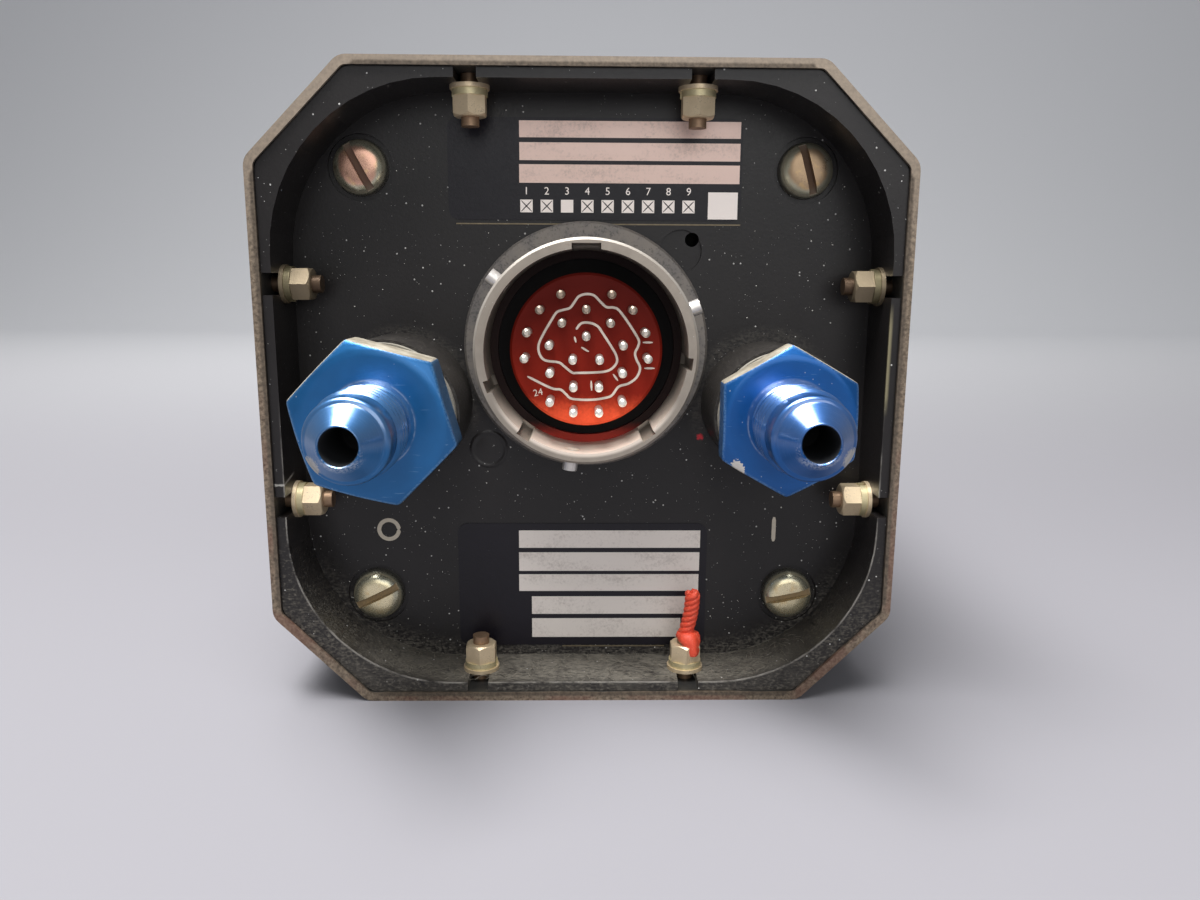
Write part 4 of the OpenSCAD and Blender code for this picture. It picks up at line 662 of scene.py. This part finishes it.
def paint_insert():
    """Red rubber, with painted shade darkening it above and a painted pool of light making it
    orange-red low down; black outside its face.
    """
    paint = Paint("insert_red", specular_ior_level=0.1)
    dx = paint.x - PLUG_X
    dz = paint.z - PLUG_Z
    fine = paint.noise(0.5, detail=5, seed=51)
    # Painted light: a bright orange-red pool over the lowest part of the face.
    low = (dz + fine * 1.5).step(-4.5, -8.0)
    # Painted shade: darker red towards the top, under the barrel's rim.
    colour = paint.mix(dz.step(9, -6), (0.125, 0.009, 0.006), (0.27, 0.015, 0.006))
    colour = paint.layers(
        colour,
        (low, (1.0, 0.12, 0.045)),
        (fine * 0.35, (0.12, 0.012, 0.006)))
    rim = dx.hypot(dz).step(9.6, 9.8)
    deep = paint.y.step(INSERT_FACE + 0.5, INSERT_FACE + 1.2)
    paint.set("Base Color", paint.mix(rim.over(deep), colour, (0.008, 0.007, 0.007)))
    paint.set("Roughness", fine * 0.15 + 0.5)
    return paint.material


def paint_seal():
    """Soft rubber in shadow, red only along the bottom."""
    paint = Paint("seal_rubber", specular_ior_level=0.2)
    fine = paint.noise(0.5, seed=53)
    low = (paint.z - PLUG_Z + fine).step(-9.0, -11.2)
    paint.set("Base Color", paint.mix(low, (0.016, 0.006, 0.005), (0.34, 0.028, 0.017)))
    paint.set("Roughness", fine * 0.2 + 0.5)
    return paint.material


def paint_contacts():
    """Silver pins, dull and brownish in the shade of the barrel above."""
    paint = Paint("contact_plate", metallic=0.7, roughness=0.32)
    paint.set("Base Color", paint.mix((paint.z - PLUG_Z).step(7, -3), (0.34, 0.26, 0.2),
                                      (0.88, 0.85, 0.78)))
    return paint.material


dress("connector_shell", paint_shell())
dress("bayonet_pins", plain("pin_metal", (0.80, 0.76, 0.72), 0.35, metallic=0.6, grain=0.4))
dress("connector_insert", paint_insert())
dress("connector_seal", paint_seal())
dress("connector_contacts", paint_contacts())
dress("connector_nut", plain("nut_metal", (0.5, 0.49, 0.46), 0.4, metallic=0.8))

# The winding line goes from the last contact round the outer ring to the first contact.
# Each place on it is an angle in degrees and a distance in contact spacings.
LINE_PLACES = [
    (-156, 2.45), (-133, 1.97), (-123, 1.79), (-115, 1.84), (-106, 1.93), (-84, 1.9),
    (-66, 1.97), (-59, 1.97), (-48, 1.86), (-38, 2.05), (-28, 2.18), (-18, 2.16),
    (-10, 1.94), (-3, 1.86), (5, 1.98), (12, 2.02), (31, 1.9), (50, 1.94), (57, 1.91),
    (65, 1.79), (74, 1.9), (82, 2.07), (90, 2.1), (98, 2.03), (104, 1.85), (111, 1.7),
    (120, 1.74), (128, 1.8), (141, 1.72), (160, 1.73), (174, 1.81), (185, 1.77),
    (194, 1.6), (204, 1.14), (217, 1.03), (238, 1.0), (249, 0.92), (283, 0.87),
    (311, 1.07), (325, 1.2), (339, 1.25), (351, 1.15), (369, 0.96), (407, 0.9),
    (424, 1.0), (442, 1.04), (460, 1.03), (476, 0.87)]
LINE_WIDTH, MARK_LIFT = 0.3, 0.03
DASHES = [(7.7, 1.0, 0, 1.25), (7.96, -2.23, 0, 1.3), (3.7, -3.39, -54, 1.04),
          (0.67, -4.45, -87, 1.26), (-0.14, 0.1, -30, 1.1), (-1.36, 1.32, -75, 0.74)]


def smooth_line(points, steps):
    """A curve through the points, each stretch a cubic set by its four neighbours."""
    p = np.vstack([points[0], points, points[-1]])
    t = np.linspace(0, 1, steps, endpoint=False)[:, None]
    parts = []
    for a, b, c, d in zip(p[:-3], p[1:-2], p[2:-1], p[3:]):
        parts.append((2 * b + (c - a) * t + (2 * a - 5 * b + 4 * c - d) * t * t
                      + (3 * b - a - 3 * c + d) * t ** 3) / 2)
    return np.vstack(parts + [points[-1:]])


def painted_strip(name, path, width, depth, material, lift=MARK_LIFT):
    """A thin band of paint with round ends along a flat path of (x, z) points."""
    ahead = np.gradient(path, axis=0)
    ahead /= np.linalg.norm(ahead, axis=1)[:, None]
    side = np.stack([-ahead[:, 1], ahead[:, 0]], 1)
    taper = np.ones(len(path))
    taper[[0, -1]] = 0.5
    edge = side * width / 2 * taper[:, None]
    both = np.stack([path + edge, path - edge], 1)
    points = np.stack([both[..., 0], np.full(both.shape[:2], depth - lift), both[..., 1]], -1)
    return piece(name, points.reshape(-1, 3), grid_faces(len(path), 2, around=False),
                 material)


def mark_insert():
    """Paints the winding line and its dashes on the insert, and returns their white."""
    white = plain("mark_white", (0.86, 0.74, 0.63), 0.6, grain=0.2)
    angle = np.radians([a for a, _ in LINE_PLACES])
    r = np.array([d for _, d in LINE_PLACES]) * CONTACT_PITCH
    places = np.stack([PLUG_X + r * np.cos(angle), PLUG_Z + r * np.sin(angle)], 1)
    line = painted_strip("winding_line", smooth_line(places, 5), LINE_WIDTH, INSERT_FACE,
                         white)
    for i, (x, z, turn, length) in enumerate(DASHES):
        way = np.array([math.cos(math.radians(turn)), math.sin(math.radians(turn))])
        along = np.linspace(-length / 2, length / 2, 4)[:, None] * way
        dash = painted_strip(f"contact_dash_{i}", along + [PLUG_X + x, PLUG_Z + z],
                             LINE_WIDTH * 0.85, INSERT_FACE, white)
    return white


CAP_SHARE = 0.7


def numeral(name, text, place, height, material, turn=0.0, body="case", front=False):
    """A plain number laid flat, facing the rear or, with front set, facing the dial side.

    The font's outline is scaled so that its capitals, CAP_SHARE of its size, have the height.
    """
    font = bpy.data.curves.new(name, "FONT")
    font.body = text
    font.align_x, font.align_y = "CENTER", "CENTER"
    font.size = 1.0
    font.resolution_u = 3
    holder = bpy.data.objects.new(name + "_font", font)
    bpy.context.scene.collection.objects.link(holder)
    bpy.context.view_layer.update()
    mesh = holder.to_mesh()
    flat = np.array([v.co for v in mesh.vertices])[:, :2]
    faces = [list(p.vertices) for p in mesh.polygons]
    holder.to_mesh_clear()
    bpy.data.objects.remove(holder)
    flat = flat * height / CAP_SHARE
    c, s = math.cos(math.radians(turn)), math.sin(math.radians(turn))
    x = flat[:, 0] * c - flat[:, 1] * s
    z = flat[:, 0] * s + flat[:, 1] * c
    if front:
        x = -x
    points = np.stack([place[0] + x, np.full(len(x), place[1]), place[2] + z], 1)
    obj = piece(name, points, faces, material, body=body, smooth=False)
    return obj


numeral("contact_number_24", "24", (PLUG_X - 6.05, INSERT_FACE - MARK_LIFT, PLUG_Z - 5.35),
        0.85, mark_insert(), turn=12)


# The fasteners: yellow-passivated nuts, washers and screw ends round the rim, and four
# slotted cover screws whose tops carry a painted pinkish brown reflection above and are pale
# olive below.
def paint_gold(name, pale, dark, seed):
    """Yellow passivation, cloudy and dirty, and in shade on the upper side screws."""
    paint = Paint(name)
    wide = paint.noise(1.3, seed=seed)
    fine = paint.noise(0.15, detail=6, seed=seed + 1)
    dirt = (fine + wide * 0.8).step(0.95, 1.25)
    colour = paint.mix(wide, dark, pale)
    side = paint.x.size().step(28, 31) * paint.z.step(0, 10) * 0.8
    colour = paint.layers(
        colour,
        (side, tuple(c * 0.25 for c in dark)),
        (dirt * 0.7, (0.12, 0.075, 0.04)))
    paint.set("Base Color", colour)
    paint.set("Metallic", 0.65 - dirt * 0.4)
    paint.set("Roughness", fine * 0.2 + 0.36)
    paint.bump(fine * 0.6 + wide, 0.012)
    return paint.material


SCREW_HALF, SCREW_R, SCREW_HIGH, SLOT_WIDE, SLOT_DEEP = 28.69, 3.6, 2.3, 1.0, 0.9
SCREW_TOP = (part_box("cover_screws")[0].y - RIM) / MM
SCREWS = [(-1, 1, 118), (1, 1, 106), (-1, -1, 26), (1, -1, 12)]


def paint_cover_screws():
    """Scratched passivated heads, rusty in the slot and greenish near the edge, with a painted
    pinkish reflection on the upper heads.
    """
    paint = Paint("cover_screw_plating")
    dx = paint.x.size() - SCREW_HALF
    dz = paint.z.size() - SCREW_HALF
    r = dx.hypot(dz)
    wide = paint.noise(1.8, seed=61)
    fine = paint.noise(0.12, detail=6, seed=62)
    rust = paint.y.step(SCREW_TOP + 0.7, SCREW_TOP + 0.88) * r.step(3.35, 3.05)
    upper = paint.z.step(-5, 5)
    right = upper * paint.x.step(-5, 5)
    # Painted reflection: the upper heads are tinted pinkish brown, duller on the upper right
    # one.
    top = paint.mix(upper, (0.80, 0.70, 0.46), (0.62, 0.36, 0.26))
    top = paint.layers(
        top,
        (right * 0.7, (0.38, 0.30, 0.17)),
        (paint.noise(1.1, seed=63).step(0.5, 0.7) * 0.5, (0.72, 0.50, 0.22)))
    colour = paint.mix((r + wide * 1.2).step(2.8, 3.4), top, (0.50, 0.48, 0.36))
    colour = paint.layers(
        colour,
        (r.step(3.3, 3.5), (0.24, 0.23, 0.20)),
        (rust * 0.9, paint.mix(upper, (0.24, 0.155, 0.07), (0.10, 0.055, 0.035))),
        ((fine + wide).step(1.1, 1.35), (0.14, 0.09, 0.05)))
    paint.set("Base Color", colour)
    paint.set("Metallic", 0.8 - rust * 0.6)
    paint.set("Roughness", fine * 0.16 + 0.2 + rust * 0.4 + right * 0.14)
    paint.bump(fine * 0.12 + wide, 0.02)
    return paint.material


def add_cover_screws():
    """Pan heads, high (1 - (r / R)^5)^0.6, drawn in columns that run along the slot.

    The two middle columns are lowered to the slot's floor, and a sine spaces the others so
    that they crowd towards the edge.
    """
    side = SLOT_WIDE / 2 + (SCREW_R - SLOT_WIDE / 2) * np.sin(np.linspace(0, math.pi / 2, 20))
    across = np.concatenate([-side[::-1], [-SLOT_WIDE / 2, SLOT_WIDE / 2], side])
    cut = np.zeros(len(across), bool)
    cut[len(side):len(side) + 2] = True
    reach = np.sqrt(np.maximum(SCREW_R ** 2 - across ** 2, 0))[:, None]
    along = reach * np.sin(np.linspace(-1, 1, 41) * math.pi / 2)
    r = np.minimum(np.hypot(across[:, None], along) / SCREW_R, 1)
    high = SCREW_HIGH * (1 - r ** 5) ** 0.6
    high[cut] = np.minimum(high[cut], SCREW_HIGH - SLOT_DEEP)
    points, faces = [], []
    for sx, sz, turn in SCREWS:
        c, s = math.cos(math.radians(turn)), math.sin(math.radians(turn))
        x = sx * SCREW_HALF + along * c - across[:, None] * s
        z = sz * SCREW_HALF + along * s + across[:, None] * c
        faces.append(np.array(grid_faces(*along.shape, around=False))
                     + along.size * len(points))
        points.append(np.stack([x, SCREW_TOP + SCREW_HIGH - high, z], -1).reshape(-1, 3))
    heads = piece("cover_screw_heads", np.vstack(points), np.vstack(faces),
                  paint_cover_screws())
    heads.data.set_sharp_from_angle(angle=math.radians(40))
    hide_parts("cover_screws")


add_cover_screws()
GOLD = paint_gold("nut_passivate", (0.86, 0.70, 0.48), (0.56, 0.44, 0.28), 71)
for node in ("hex_nuts", "plain_washers"):
    dress(node, GOLD)
dress("spring_washers", paint_gold("spring_passivate", (0.74, 0.66, 0.42),
                                   (0.44, 0.37, 0.2), 73))
dress("case_screws", paint_gold("screw_passivate", (0.40, 0.27, 0.17),
                                (0.16, 0.095, 0.055), 75))


# The sealed stub: strands of thin wire laid round each other under red lacquer, rising
# from a cap of lacquer over the end of the lower right case screw.
STUB_X, STUB_Y, STUB_FOOT = 14.0, 5.2, -33.0
STUB_TIP = (14.75, 4.1, -26.6)
STRANDS, STRAND_R, LAY_R, STUB_TURNS = 3, 0.5, 0.56, 2.6


def tube(path, radius, sides=10):
    """Points and faces of a round tube along a path, with both ends closed.

    Each ring stands square to the path, on two directions worked out with cross products.
    """
    ahead = np.gradient(path, axis=0)
    ahead /= np.linalg.norm(ahead, axis=1)[:, None]
    side = np.cross(ahead, [0, 1, 0.01])
    side /= np.linalg.norm(side, axis=1)[:, None]
    third = np.cross(ahead, side)
    a = np.linspace(0, 2 * math.pi, sides, endpoint=False)
    ring = side[:, None] * np.cos(a)[None, :, None] + third[:, None] * np.sin(a)[None, :, None]
    radius = np.broadcast_to(radius, len(path))
    points = path[:, None] + ring * radius[:, None, None]
    faces = grid_faces(len(path), sides)
    last = (len(path) - 1) * sides
    faces.append(list(range(sides))[::-1])
    faces.append([last + k for k in range(sides)])
    return points.reshape(-1, 3), faces


LACQUER_RINGS = [(0.0, -32.5), (0.9, -32.55), (1.4, -32.8), (1.6, -33.3), (1.5, -33.9),
                 (1.15, -34.4), (0.95, -35.0), (0.8, -35.6)]


def paint_lacquer():
    """Thick red lacquer, worn paler in patches."""
    paint = Paint("lacquer_red")
    fine = paint.noise(0.25, detail=5, seed=81)
    worn = (fine + paint.noise(0.9, seed=82) * 0.6).step(0.85, 1.05)
    colour = paint.mix(fine, (0.55, 0.04, 0.016), (0.88, 0.10, 0.045))
    paint.set("Base Color", paint.mix(worn * 0.45, colour, (0.85, 0.36, 0.24)))
    paint.set("Roughness", fine * 0.25 + 0.4)
    paint.bump(fine, 0.05)
    return paint.material


def add_strands(material):
    """Strands wound as helices round a core line that bows a little to the right."""
    foot = np.array([STUB_X, STUB_Y, STUB_FOOT])
    t = np.linspace(0, 1, 60)
    core = foot + (np.array(STUB_TIP) - foot) * t[:, None]
    core[:, 0] += 0.25 * np.sin(t * math.pi)
    points, faces = [], []
    for k in range(STRANDS):
        a = 2 * math.pi * (STUB_TURNS * t + k / STRANDS)
        path = core + LAY_R * np.stack([np.cos(a), np.sin(a), 0 * a], 1)
        end = np.clip(np.minimum(t, 1 - t) * 25, 0.35, 1) ** 0.5
        strand, strand_faces = tube(path, STRAND_R * end)
        faces += [[i + sum(map(len, points)) for i in face] for face in strand_faces]
        points.append(strand)
    stub = piece("lacquered_stub", np.vstack(points), faces, material)
    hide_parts("seal_wire")


def add_lacquer_cap(material):
    """Rings of lacquer, wobbled by two sines, whose foot runs down over the nut's facet."""
    a = np.linspace(0, 2 * math.pi, 40, endpoint=False)
    wobble = 1 + 0.06 * np.sin(3 * a) + 0.04 * np.sin(5 * a + 1)
    r, z = (column[:, None] for column in np.array(LACQUER_RINGS).T)
    run = np.clip((-33.4 - z) / 1.6, 0, 1)
    points = np.stack([STUB_X + 0.35 + 0.55 * run + r * wobble * np.cos(a),
                       STUB_Y - 0.3 - 0.95 * run + r * wobble * np.sin(a),
                       z + 0 * a], -1)
    cap = piece("lacquer_cap", points.reshape(-1, 3),
                grid_faces(len(r), len(a), flip=True), material)


LACQUER = paint_lacquer()
add_strands(LACQUER)
add_lacquer_cap(LACQUER)


# The foil data plates: thin blue-black foil glued to the plate, with bare satin fields. The
# upper one also has a row of small crossed squares with plain numbers over them.
FOIL_THICK, FIELD_LIFT = 0.12, 0.02
UPPER_PLATE = (-17.5, 20.4, 22.3, 35.0)
LOWER_PLATE = (-17.4, 17.2, -36.3, -18.5)
UPPER_FIELDS = [(-8.3, 20.1, 32.55, 34.6), (-8.3, 20.1, 29.75, 31.95),
                (-8.35, 20.1, 26.95, 29.25)]
LOWER_FIELDS = [(-8.95, 16.25, -22.0, -19.5), (-8.97, 16.2, -25.35, -22.65),
                (-9.0, 16.15, -28.3, -25.85), (-7.25, 15.95, -31.7, -29.1),
                (-7.25, 13.75, -35.15, -32.35)]
SQUARE_FIRST, SQUARE_LAST, SQUARE_HEIGHT, SQUARE_SIDE = -7.45, 13.57, 24.05, 1.6
LARGE_SQUARE = (16.1, 19.95, 22.5, 25.9)
EMPTY_SQUARE = 2
UPPER_EDGE, LOWER_EDGE = (-16.6, 20.4, 21.72, 21.88), (-3.0, 11.5, -36.62, -36.48)
CORNER_ROUND = 1.4


def panel(name, bounds, depth, thick, material, corner=0.0):
    """A thin flat plate from its low and high x and z, its corners quarter circles."""
    x0, x1, z0, z1 = bounds
    if corner:
        turns = np.radians(np.linspace(0, 90, 7))
        centres = [(x1 - corner, z1 - corner), (x0 + corner, z1 - corner),
                   (x0 + corner, z0 + corner), (x1 - corner, z0 + corner)]
        ring = [(cx + corner * math.cos(t + k * math.pi / 2),
                 cz + corner * math.sin(t + k * math.pi / 2))
                for k, (cx, cz) in enumerate(centres) for t in turns]
    else:
        ring = [(x1, z1), (x0, z1), (x0, z0), (x1, z0)]
    n = len(ring)
    points = [(x, depth - thick, z) for x, z in ring] + [(x, depth, z) for x, z in ring]
    faces = [list(range(n))] + [[k, k + n, (k + 1) % n + n, (k + 1) % n] for k in range(n)]
    piece(name, points, faces, material, smooth=False)


def paint_foil():
    """Blue-black print on foil, with worn specks."""
    paint = Paint("foil_navy", specular_ior_level=0.35)
    fine = paint.noise(0.4, detail=6, seed=91)
    wide = paint.noise(4, seed=92)
    wear = paint.specks(0.5, 0.3, seed=9) * 0.6
    colour = paint.mix(wide, (0.003, 0.0022, 0.0048), (0.007, 0.0052, 0.010))
    paint.set("Base Color", paint.mix(wear, colour, (0.35, 0.34, 0.32)))
    paint.set("Roughness", fine * 0.25 + 0.25)
    paint.bump(fine + wide, 0.02)
    return paint.material


def paint_field():
    """Bare satin foil with faint smudges, tinted pink on the upper plate as a painted
    reflection and greyer below.
    """
    paint = Paint("foil_bare")
    wide = paint.noise(3, stretch=(0.4, 1, 1), seed=93)
    fine = paint.noise(0.3, detail=6, seed=94)
    # Painted reflection: the fields on the upper plate are tinted pink.
    upper = paint.z.step(-10, 10)
    colour = paint.mix(upper, (0.72, 0.66, 0.60), (0.86, 0.64, 0.55))
    colour = paint.mix((fine + wide).step(0.95, 1.4) * 0.5, colour, (0.30, 0.25, 0.22))
    paint.set("Base Color", colour)
    paint.set("Metallic", 0.25)
    paint.set("Roughness", wide * 0.2 + 0.35)
    paint.bump(fine + wide * 2, 0.01)
    return paint.material


def add_data_plates():
    """Both plates with their fields, squares, crosses, numbers and dull gold edges."""
    navy, bare = paint_foil(), paint_field()
    gold = plain("foil_edge", (0.30, 0.24, 0.15), 0.45, metallic=0.5, grain=0.7)
    pale = plain("foil_pale", (0.95, 0.86, 0.80), 0.35, metallic=0.3, grain=0.1, grain_size=2)
    top = PLATE - FOIL_THICK
    panel("upper_foil", UPPER_PLATE, PLATE, FOIL_THICK, navy, CORNER_ROUND)
    panel("lower_foil", LOWER_PLATE, PLATE, FOIL_THICK, navy, CORNER_ROUND)
    for i, field in enumerate(UPPER_FIELDS + LOWER_FIELDS):
        panel(f"foil_field_{i}", field, top, FIELD_LIFT, bare)
    panel("foil_large_square", LARGE_SQUARE, top, FIELD_LIFT, pale)
    step = (SQUARE_LAST - SQUARE_FIRST) / 8
    half = SQUARE_SIDE / 2
    for k in range(9):
        x = SQUARE_FIRST + k * step
        panel(f"foil_square_{k + 1}", (x - half, x + half, SQUARE_HEIGHT - half,
                                       SQUARE_HEIGHT + half), top, FIELD_LIFT, pale)
        numeral(f"foil_number_{k + 1}", str(k + 1), (x, top - FIELD_LIFT, 25.9), 0.95,
                pale)
        if k == EMPTY_SQUARE:
            continue
        for sign in (-1, 1):
            ends = np.linspace(-half, half, 5)[:, None] * np.array([1, sign]) * 0.85
            cross = painted_strip(f"square_cross_{k + 1}_{sign + 1}",
                                  ends + [x, SQUARE_HEIGHT], 0.13, top, navy,
                                  lift=FIELD_LIFT + 0.01)
    panel("upper_foil_edge", UPPER_EDGE, PLATE, 0.05, gold)
    panel("lower_foil_edge", LOWER_EDGE, PLATE, 0.05, gold)


add_data_plates()


# The port marks: a ring below the static port and a bar below the pitot port, brushed on the
# plate in cream paint.
RING_X, RING_Z, RING_R = -26.9, -19.4, 1.35
BAR_X, BAR_LOW, BAR_HIGH = 26.5, -21.1, -17.6
MARK_WIDTH = 0.55


def add_port_marks():
    """One strip of paint round a circle, and one along an upright line."""
    cream = plain("mark_cream", (0.62, 0.55, 0.44), 0.6, grain=0.3)
    a = np.linspace(0, 2 * math.pi, 40)
    ring = np.stack([RING_X + RING_R * np.cos(a), RING_Z + RING_R * np.sin(a)], 1)
    bar = np.stack([np.full(9, BAR_X), np.linspace(BAR_LOW, BAR_HIGH, 9)], 1)
    for name, path in (("static_mark", ring), ("pitot_mark", bar)):
        painted_strip(name, path, MARK_WIDTH, PLATE, cream)


add_port_marks()


# Loose dirt as real pieces: pale grains over the plate, and fibres on the pocket floor.
GRAINS, FIBRES = 1500, 260


def add_grains(rng):
    """Small flat-sided grains, each a squashed octahedron, scattered on the plate."""
    grey = plain("grain", (0.72, 0.70, 0.64), 0.8, grain=0.4)
    x = rng.uniform(-36, 36, GRAINS)
    z = rng.uniform(-37, 36, GRAINS)
    size = 0.03 + 0.08 * rng.random(GRAINS) ** 3
    keep = np.hypot(x - PLUG_X, z - PLUG_Z) > 16.3
    core = MOUTH_HALF - MOUTH_ROUND
    keep &= np.hypot(np.maximum(abs(x) - core, 0), np.maximum(abs(z) - core, 0)) < 20
    keep &= rng.random(GRAINS) < 0.3 + 0.25 * (z < 5) + 0.45 * (z < -24)
    shape = np.array([(1, 0, 0), (0, 0, 1), (-1, 0, 0), (0, 0, -1), (0, -0.7, 0)])
    tri = np.array([(0, 1, 4), (1, 2, 4), (2, 3, 4), (3, 0, 4)])
    points, faces = [], []
    for px, pz, s in zip(x[keep], z[keep], size[keep]):
        faces.append(tri + 5 * len(points))
        wild = shape * s * rng.uniform(0.6, 1.4, 3)
        points.append(wild + [px, PLATE - 0.01, pz])
    obj = piece("plate_grains", np.vstack(points), np.vstack(faces), grey, smooth=False)


def add_fibres(rng):
    """Short curved hairs lying on the pocket floor, thickest against the plate."""
    hair = plain("fibre", (0.27, 0.245, 0.195), 0.9, grain=0.6, grain_size=3)
    points, faces, count = [], [], 0
    for _ in range(FIBRES):
        x = rng.uniform(-24, 30)
        y = 9.2 - 8.2 * rng.random() ** 1.4
        floor = -MOUTH_HALF + 0.06
        over = max(abs(x) - (MOUTH_HALF - MOUTH_ROUND), 0)
        rise = MOUTH_ROUND - math.sqrt(max(MOUTH_ROUND ** 2 - over ** 2, 0))
        turn = rng.uniform(0, math.pi)
        length = rng.uniform(0.5, 2.2)
        bend = rng.normal(0, 0.5)
        t = np.linspace(-0.5, 0.5, 6)
        lift = 0.35 * rng.random() * (0.25 - t ** 2) * 4
        px = x + length * t * math.cos(turn) + bend * t * t * math.sin(turn)
        py = y + length * t * math.sin(turn) - bend * t * t * math.cos(turn)
        path = np.stack([px, np.clip(py, 0.8, 9.15), floor + rise + 0.05 + lift], 1)
        hair_points, hair_faces = tube(path, 0.012 + 0.014 * rng.random(), sides=4)
        faces += [[i + count for i in face] for face in hair_faces]
        points.append(hair_points)
        count += len(hair_points)
    obj = piece("floor_fibres", np.vstack(points), faces, hair)


random = np.random.default_rng(7)
add_grains(random)
add_fibres(random)


# The bezel end: satin black frame, clear glass, and a black dial with plain white numbers
# round a full scale. The slotted window shows the disc behind it.
def paint_bezel():
    """Satin black enamel with a fine texture."""
    paint = Paint("bezel_enamel")
    fine = paint.noise(0.3, detail=5, seed=101)
    wide = paint.noise(5, seed=102)
    paint.set("Base Color", paint.mix(wide, (0.011, 0.011, 0.011), (0.022, 0.021, 0.02)))
    paint.set("Roughness", fine * 0.2 + 0.35)
    paint.bump(fine, 0.02)
    return paint.material


BEZEL = paint_bezel()
for node in ("bezel", "bezel_screws", "glass_ring"):
    dress(node, BEZEL)
dress("glass_seal", plain("seal_black", (0.015, 0.015, 0.015), 0.6))
dress("front_glass", Paint("window_glass", base_color=(0.95, 0.98, 0.98), roughness=0.03,
                           transmission_weight=1.0).material)
DIAL = plain("dial_black", (0.012, 0.012, 0.012), 0.6, grain=0.3)
DIAL_WHITE = plain("dial_white", (0.8, 0.79, 0.75), 0.6)
dress("dial_plate", DIAL)
dress("dial_screws", DIAL)
dress("mach_disc", DIAL)
dress("airspeed_pointer", plain("pointer_white", (0.82, 0.81, 0.77), 0.5))

DIAL_FACE = (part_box("dial_plate")[1].y - RIM) / MM
DISC_FACE = (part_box("mach_disc")[1].y - RIM) / MM
SCALE_LOW, SCALE_HIGH, SCALE_SWEEP = 60, 400, 320
TICK_OUT, TICK_LONG, TICK_SHORT, NUMBER_R = 31.5, 3.6, 2.0, 24.6
DISC_LOW, DISC_STEP, DISC_COUNT, DISC_R = 3, 30, 8, 18.6


def dial_point(r, degrees_on):
    """Place on the dial, degrees clockwise from the top as seen from the front."""
    a = math.radians(90 + degrees_on)
    return np.array([r * math.cos(a), r * math.sin(a)])


def add_scale():
    """Ticks every ten units and a number every forty, in one sweep round the dial."""
    points, faces = [], []
    lift = DIAL_FACE + MARK_LIFT
    for value in range(SCALE_LOW, SCALE_HIGH + 1, 10):
        on = (value - SCALE_LOW) / (SCALE_HIGH - SCALE_LOW) * SCALE_SWEEP
        major = (value - SCALE_LOW) % 40 == 0 or value == SCALE_HIGH
        way = dial_point(1, on)
        side = np.array([-way[1], way[0]]) * (0.3 if major else 0.15)
        low = way * (TICK_OUT - (TICK_LONG if major else TICK_SHORT))
        high = way * TICK_OUT
        base = len(points)
        for p in (low - side, high - side, high + side, low + side):
            points.append((p[0], lift, p[1]))
        faces.append([base + 3, base + 2, base + 1, base])
        if major and value < SCALE_HIGH:
            x, z = dial_point(NUMBER_R, on)
            numeral(f"dial_number_{value}", str(value), (x, lift, z), 2.9, DIAL_WHITE,
                    front=True)
    ticks = piece("dial_ticks", points, faces, DIAL_WHITE, smooth=False)


def add_disc_numbers():
    """Plain numbers on the disc, one of which stands in the dial's window at a time."""
    for k in range(DISC_COUNT):
        on = 180 - k * DISC_STEP
        x, z = dial_point(DISC_R, on)
        numeral(f"disc_number_{k}", str(DISC_LOW + k), (x, DISC_FACE + MARK_LIFT, z), 2.2,
                DIAL_WHITE, body="mach_disc", front=True)


add_scale()
add_disc_numbers()


# The works between the ends: machined frame, turned brass and steel. They show only when
# the case is open, so each kind has one plain finish.
FINISHES = {
    "frame_metal": ((0.56, 0.55, 0.52), 0.38, 0.85,
                    ("rear_pillars", "capsule_plate", "mid_pillars", "rear_plate",
                     "movement_pillars", "front_plate", "front_pillars", "airspeed_shelf",
                     "mach_shelf", "dial_posts")),
    "turned_brass": ((0.72, 0.53, 0.22), 0.3, 0.9,
                     ("shaft_bushes", "pointer_bush", "mach_bush", "airspeed_sector",
                      "mach_sector", "mach_sleeve")),
    "capsule_bronze": ((0.62, 0.42, 0.2), 0.32, 0.9, ("airspeed_capsule", "mach_capsule")),
    "small_gold": ((0.68, 0.58, 0.34), 0.35, 0.8, ("shelf_screws", "capsule_nuts")),
    "ground_steel": ((0.5, 0.5, 0.5), 0.3, 0.95,
                     ("airspeed_link", "mach_link", "airspeed_rocking_shaft",
                      "mach_rocking_shaft", "pointer_spindle")),
    "blued_spring": ((0.08, 0.1, 0.2), 0.3, 0.9, ("hairspring",)),
    "drawn_copper": ((0.6, 0.28, 0.15), 0.35, 0.9, ("pitot_tube",)),
}
for finish, (colour, roughness, metallic, nodes) in FINISHES.items():
    material = plain(finish, colour, roughness, metallic=metallic, grain=0.2)
    for node in nodes:
        dress(node, material)
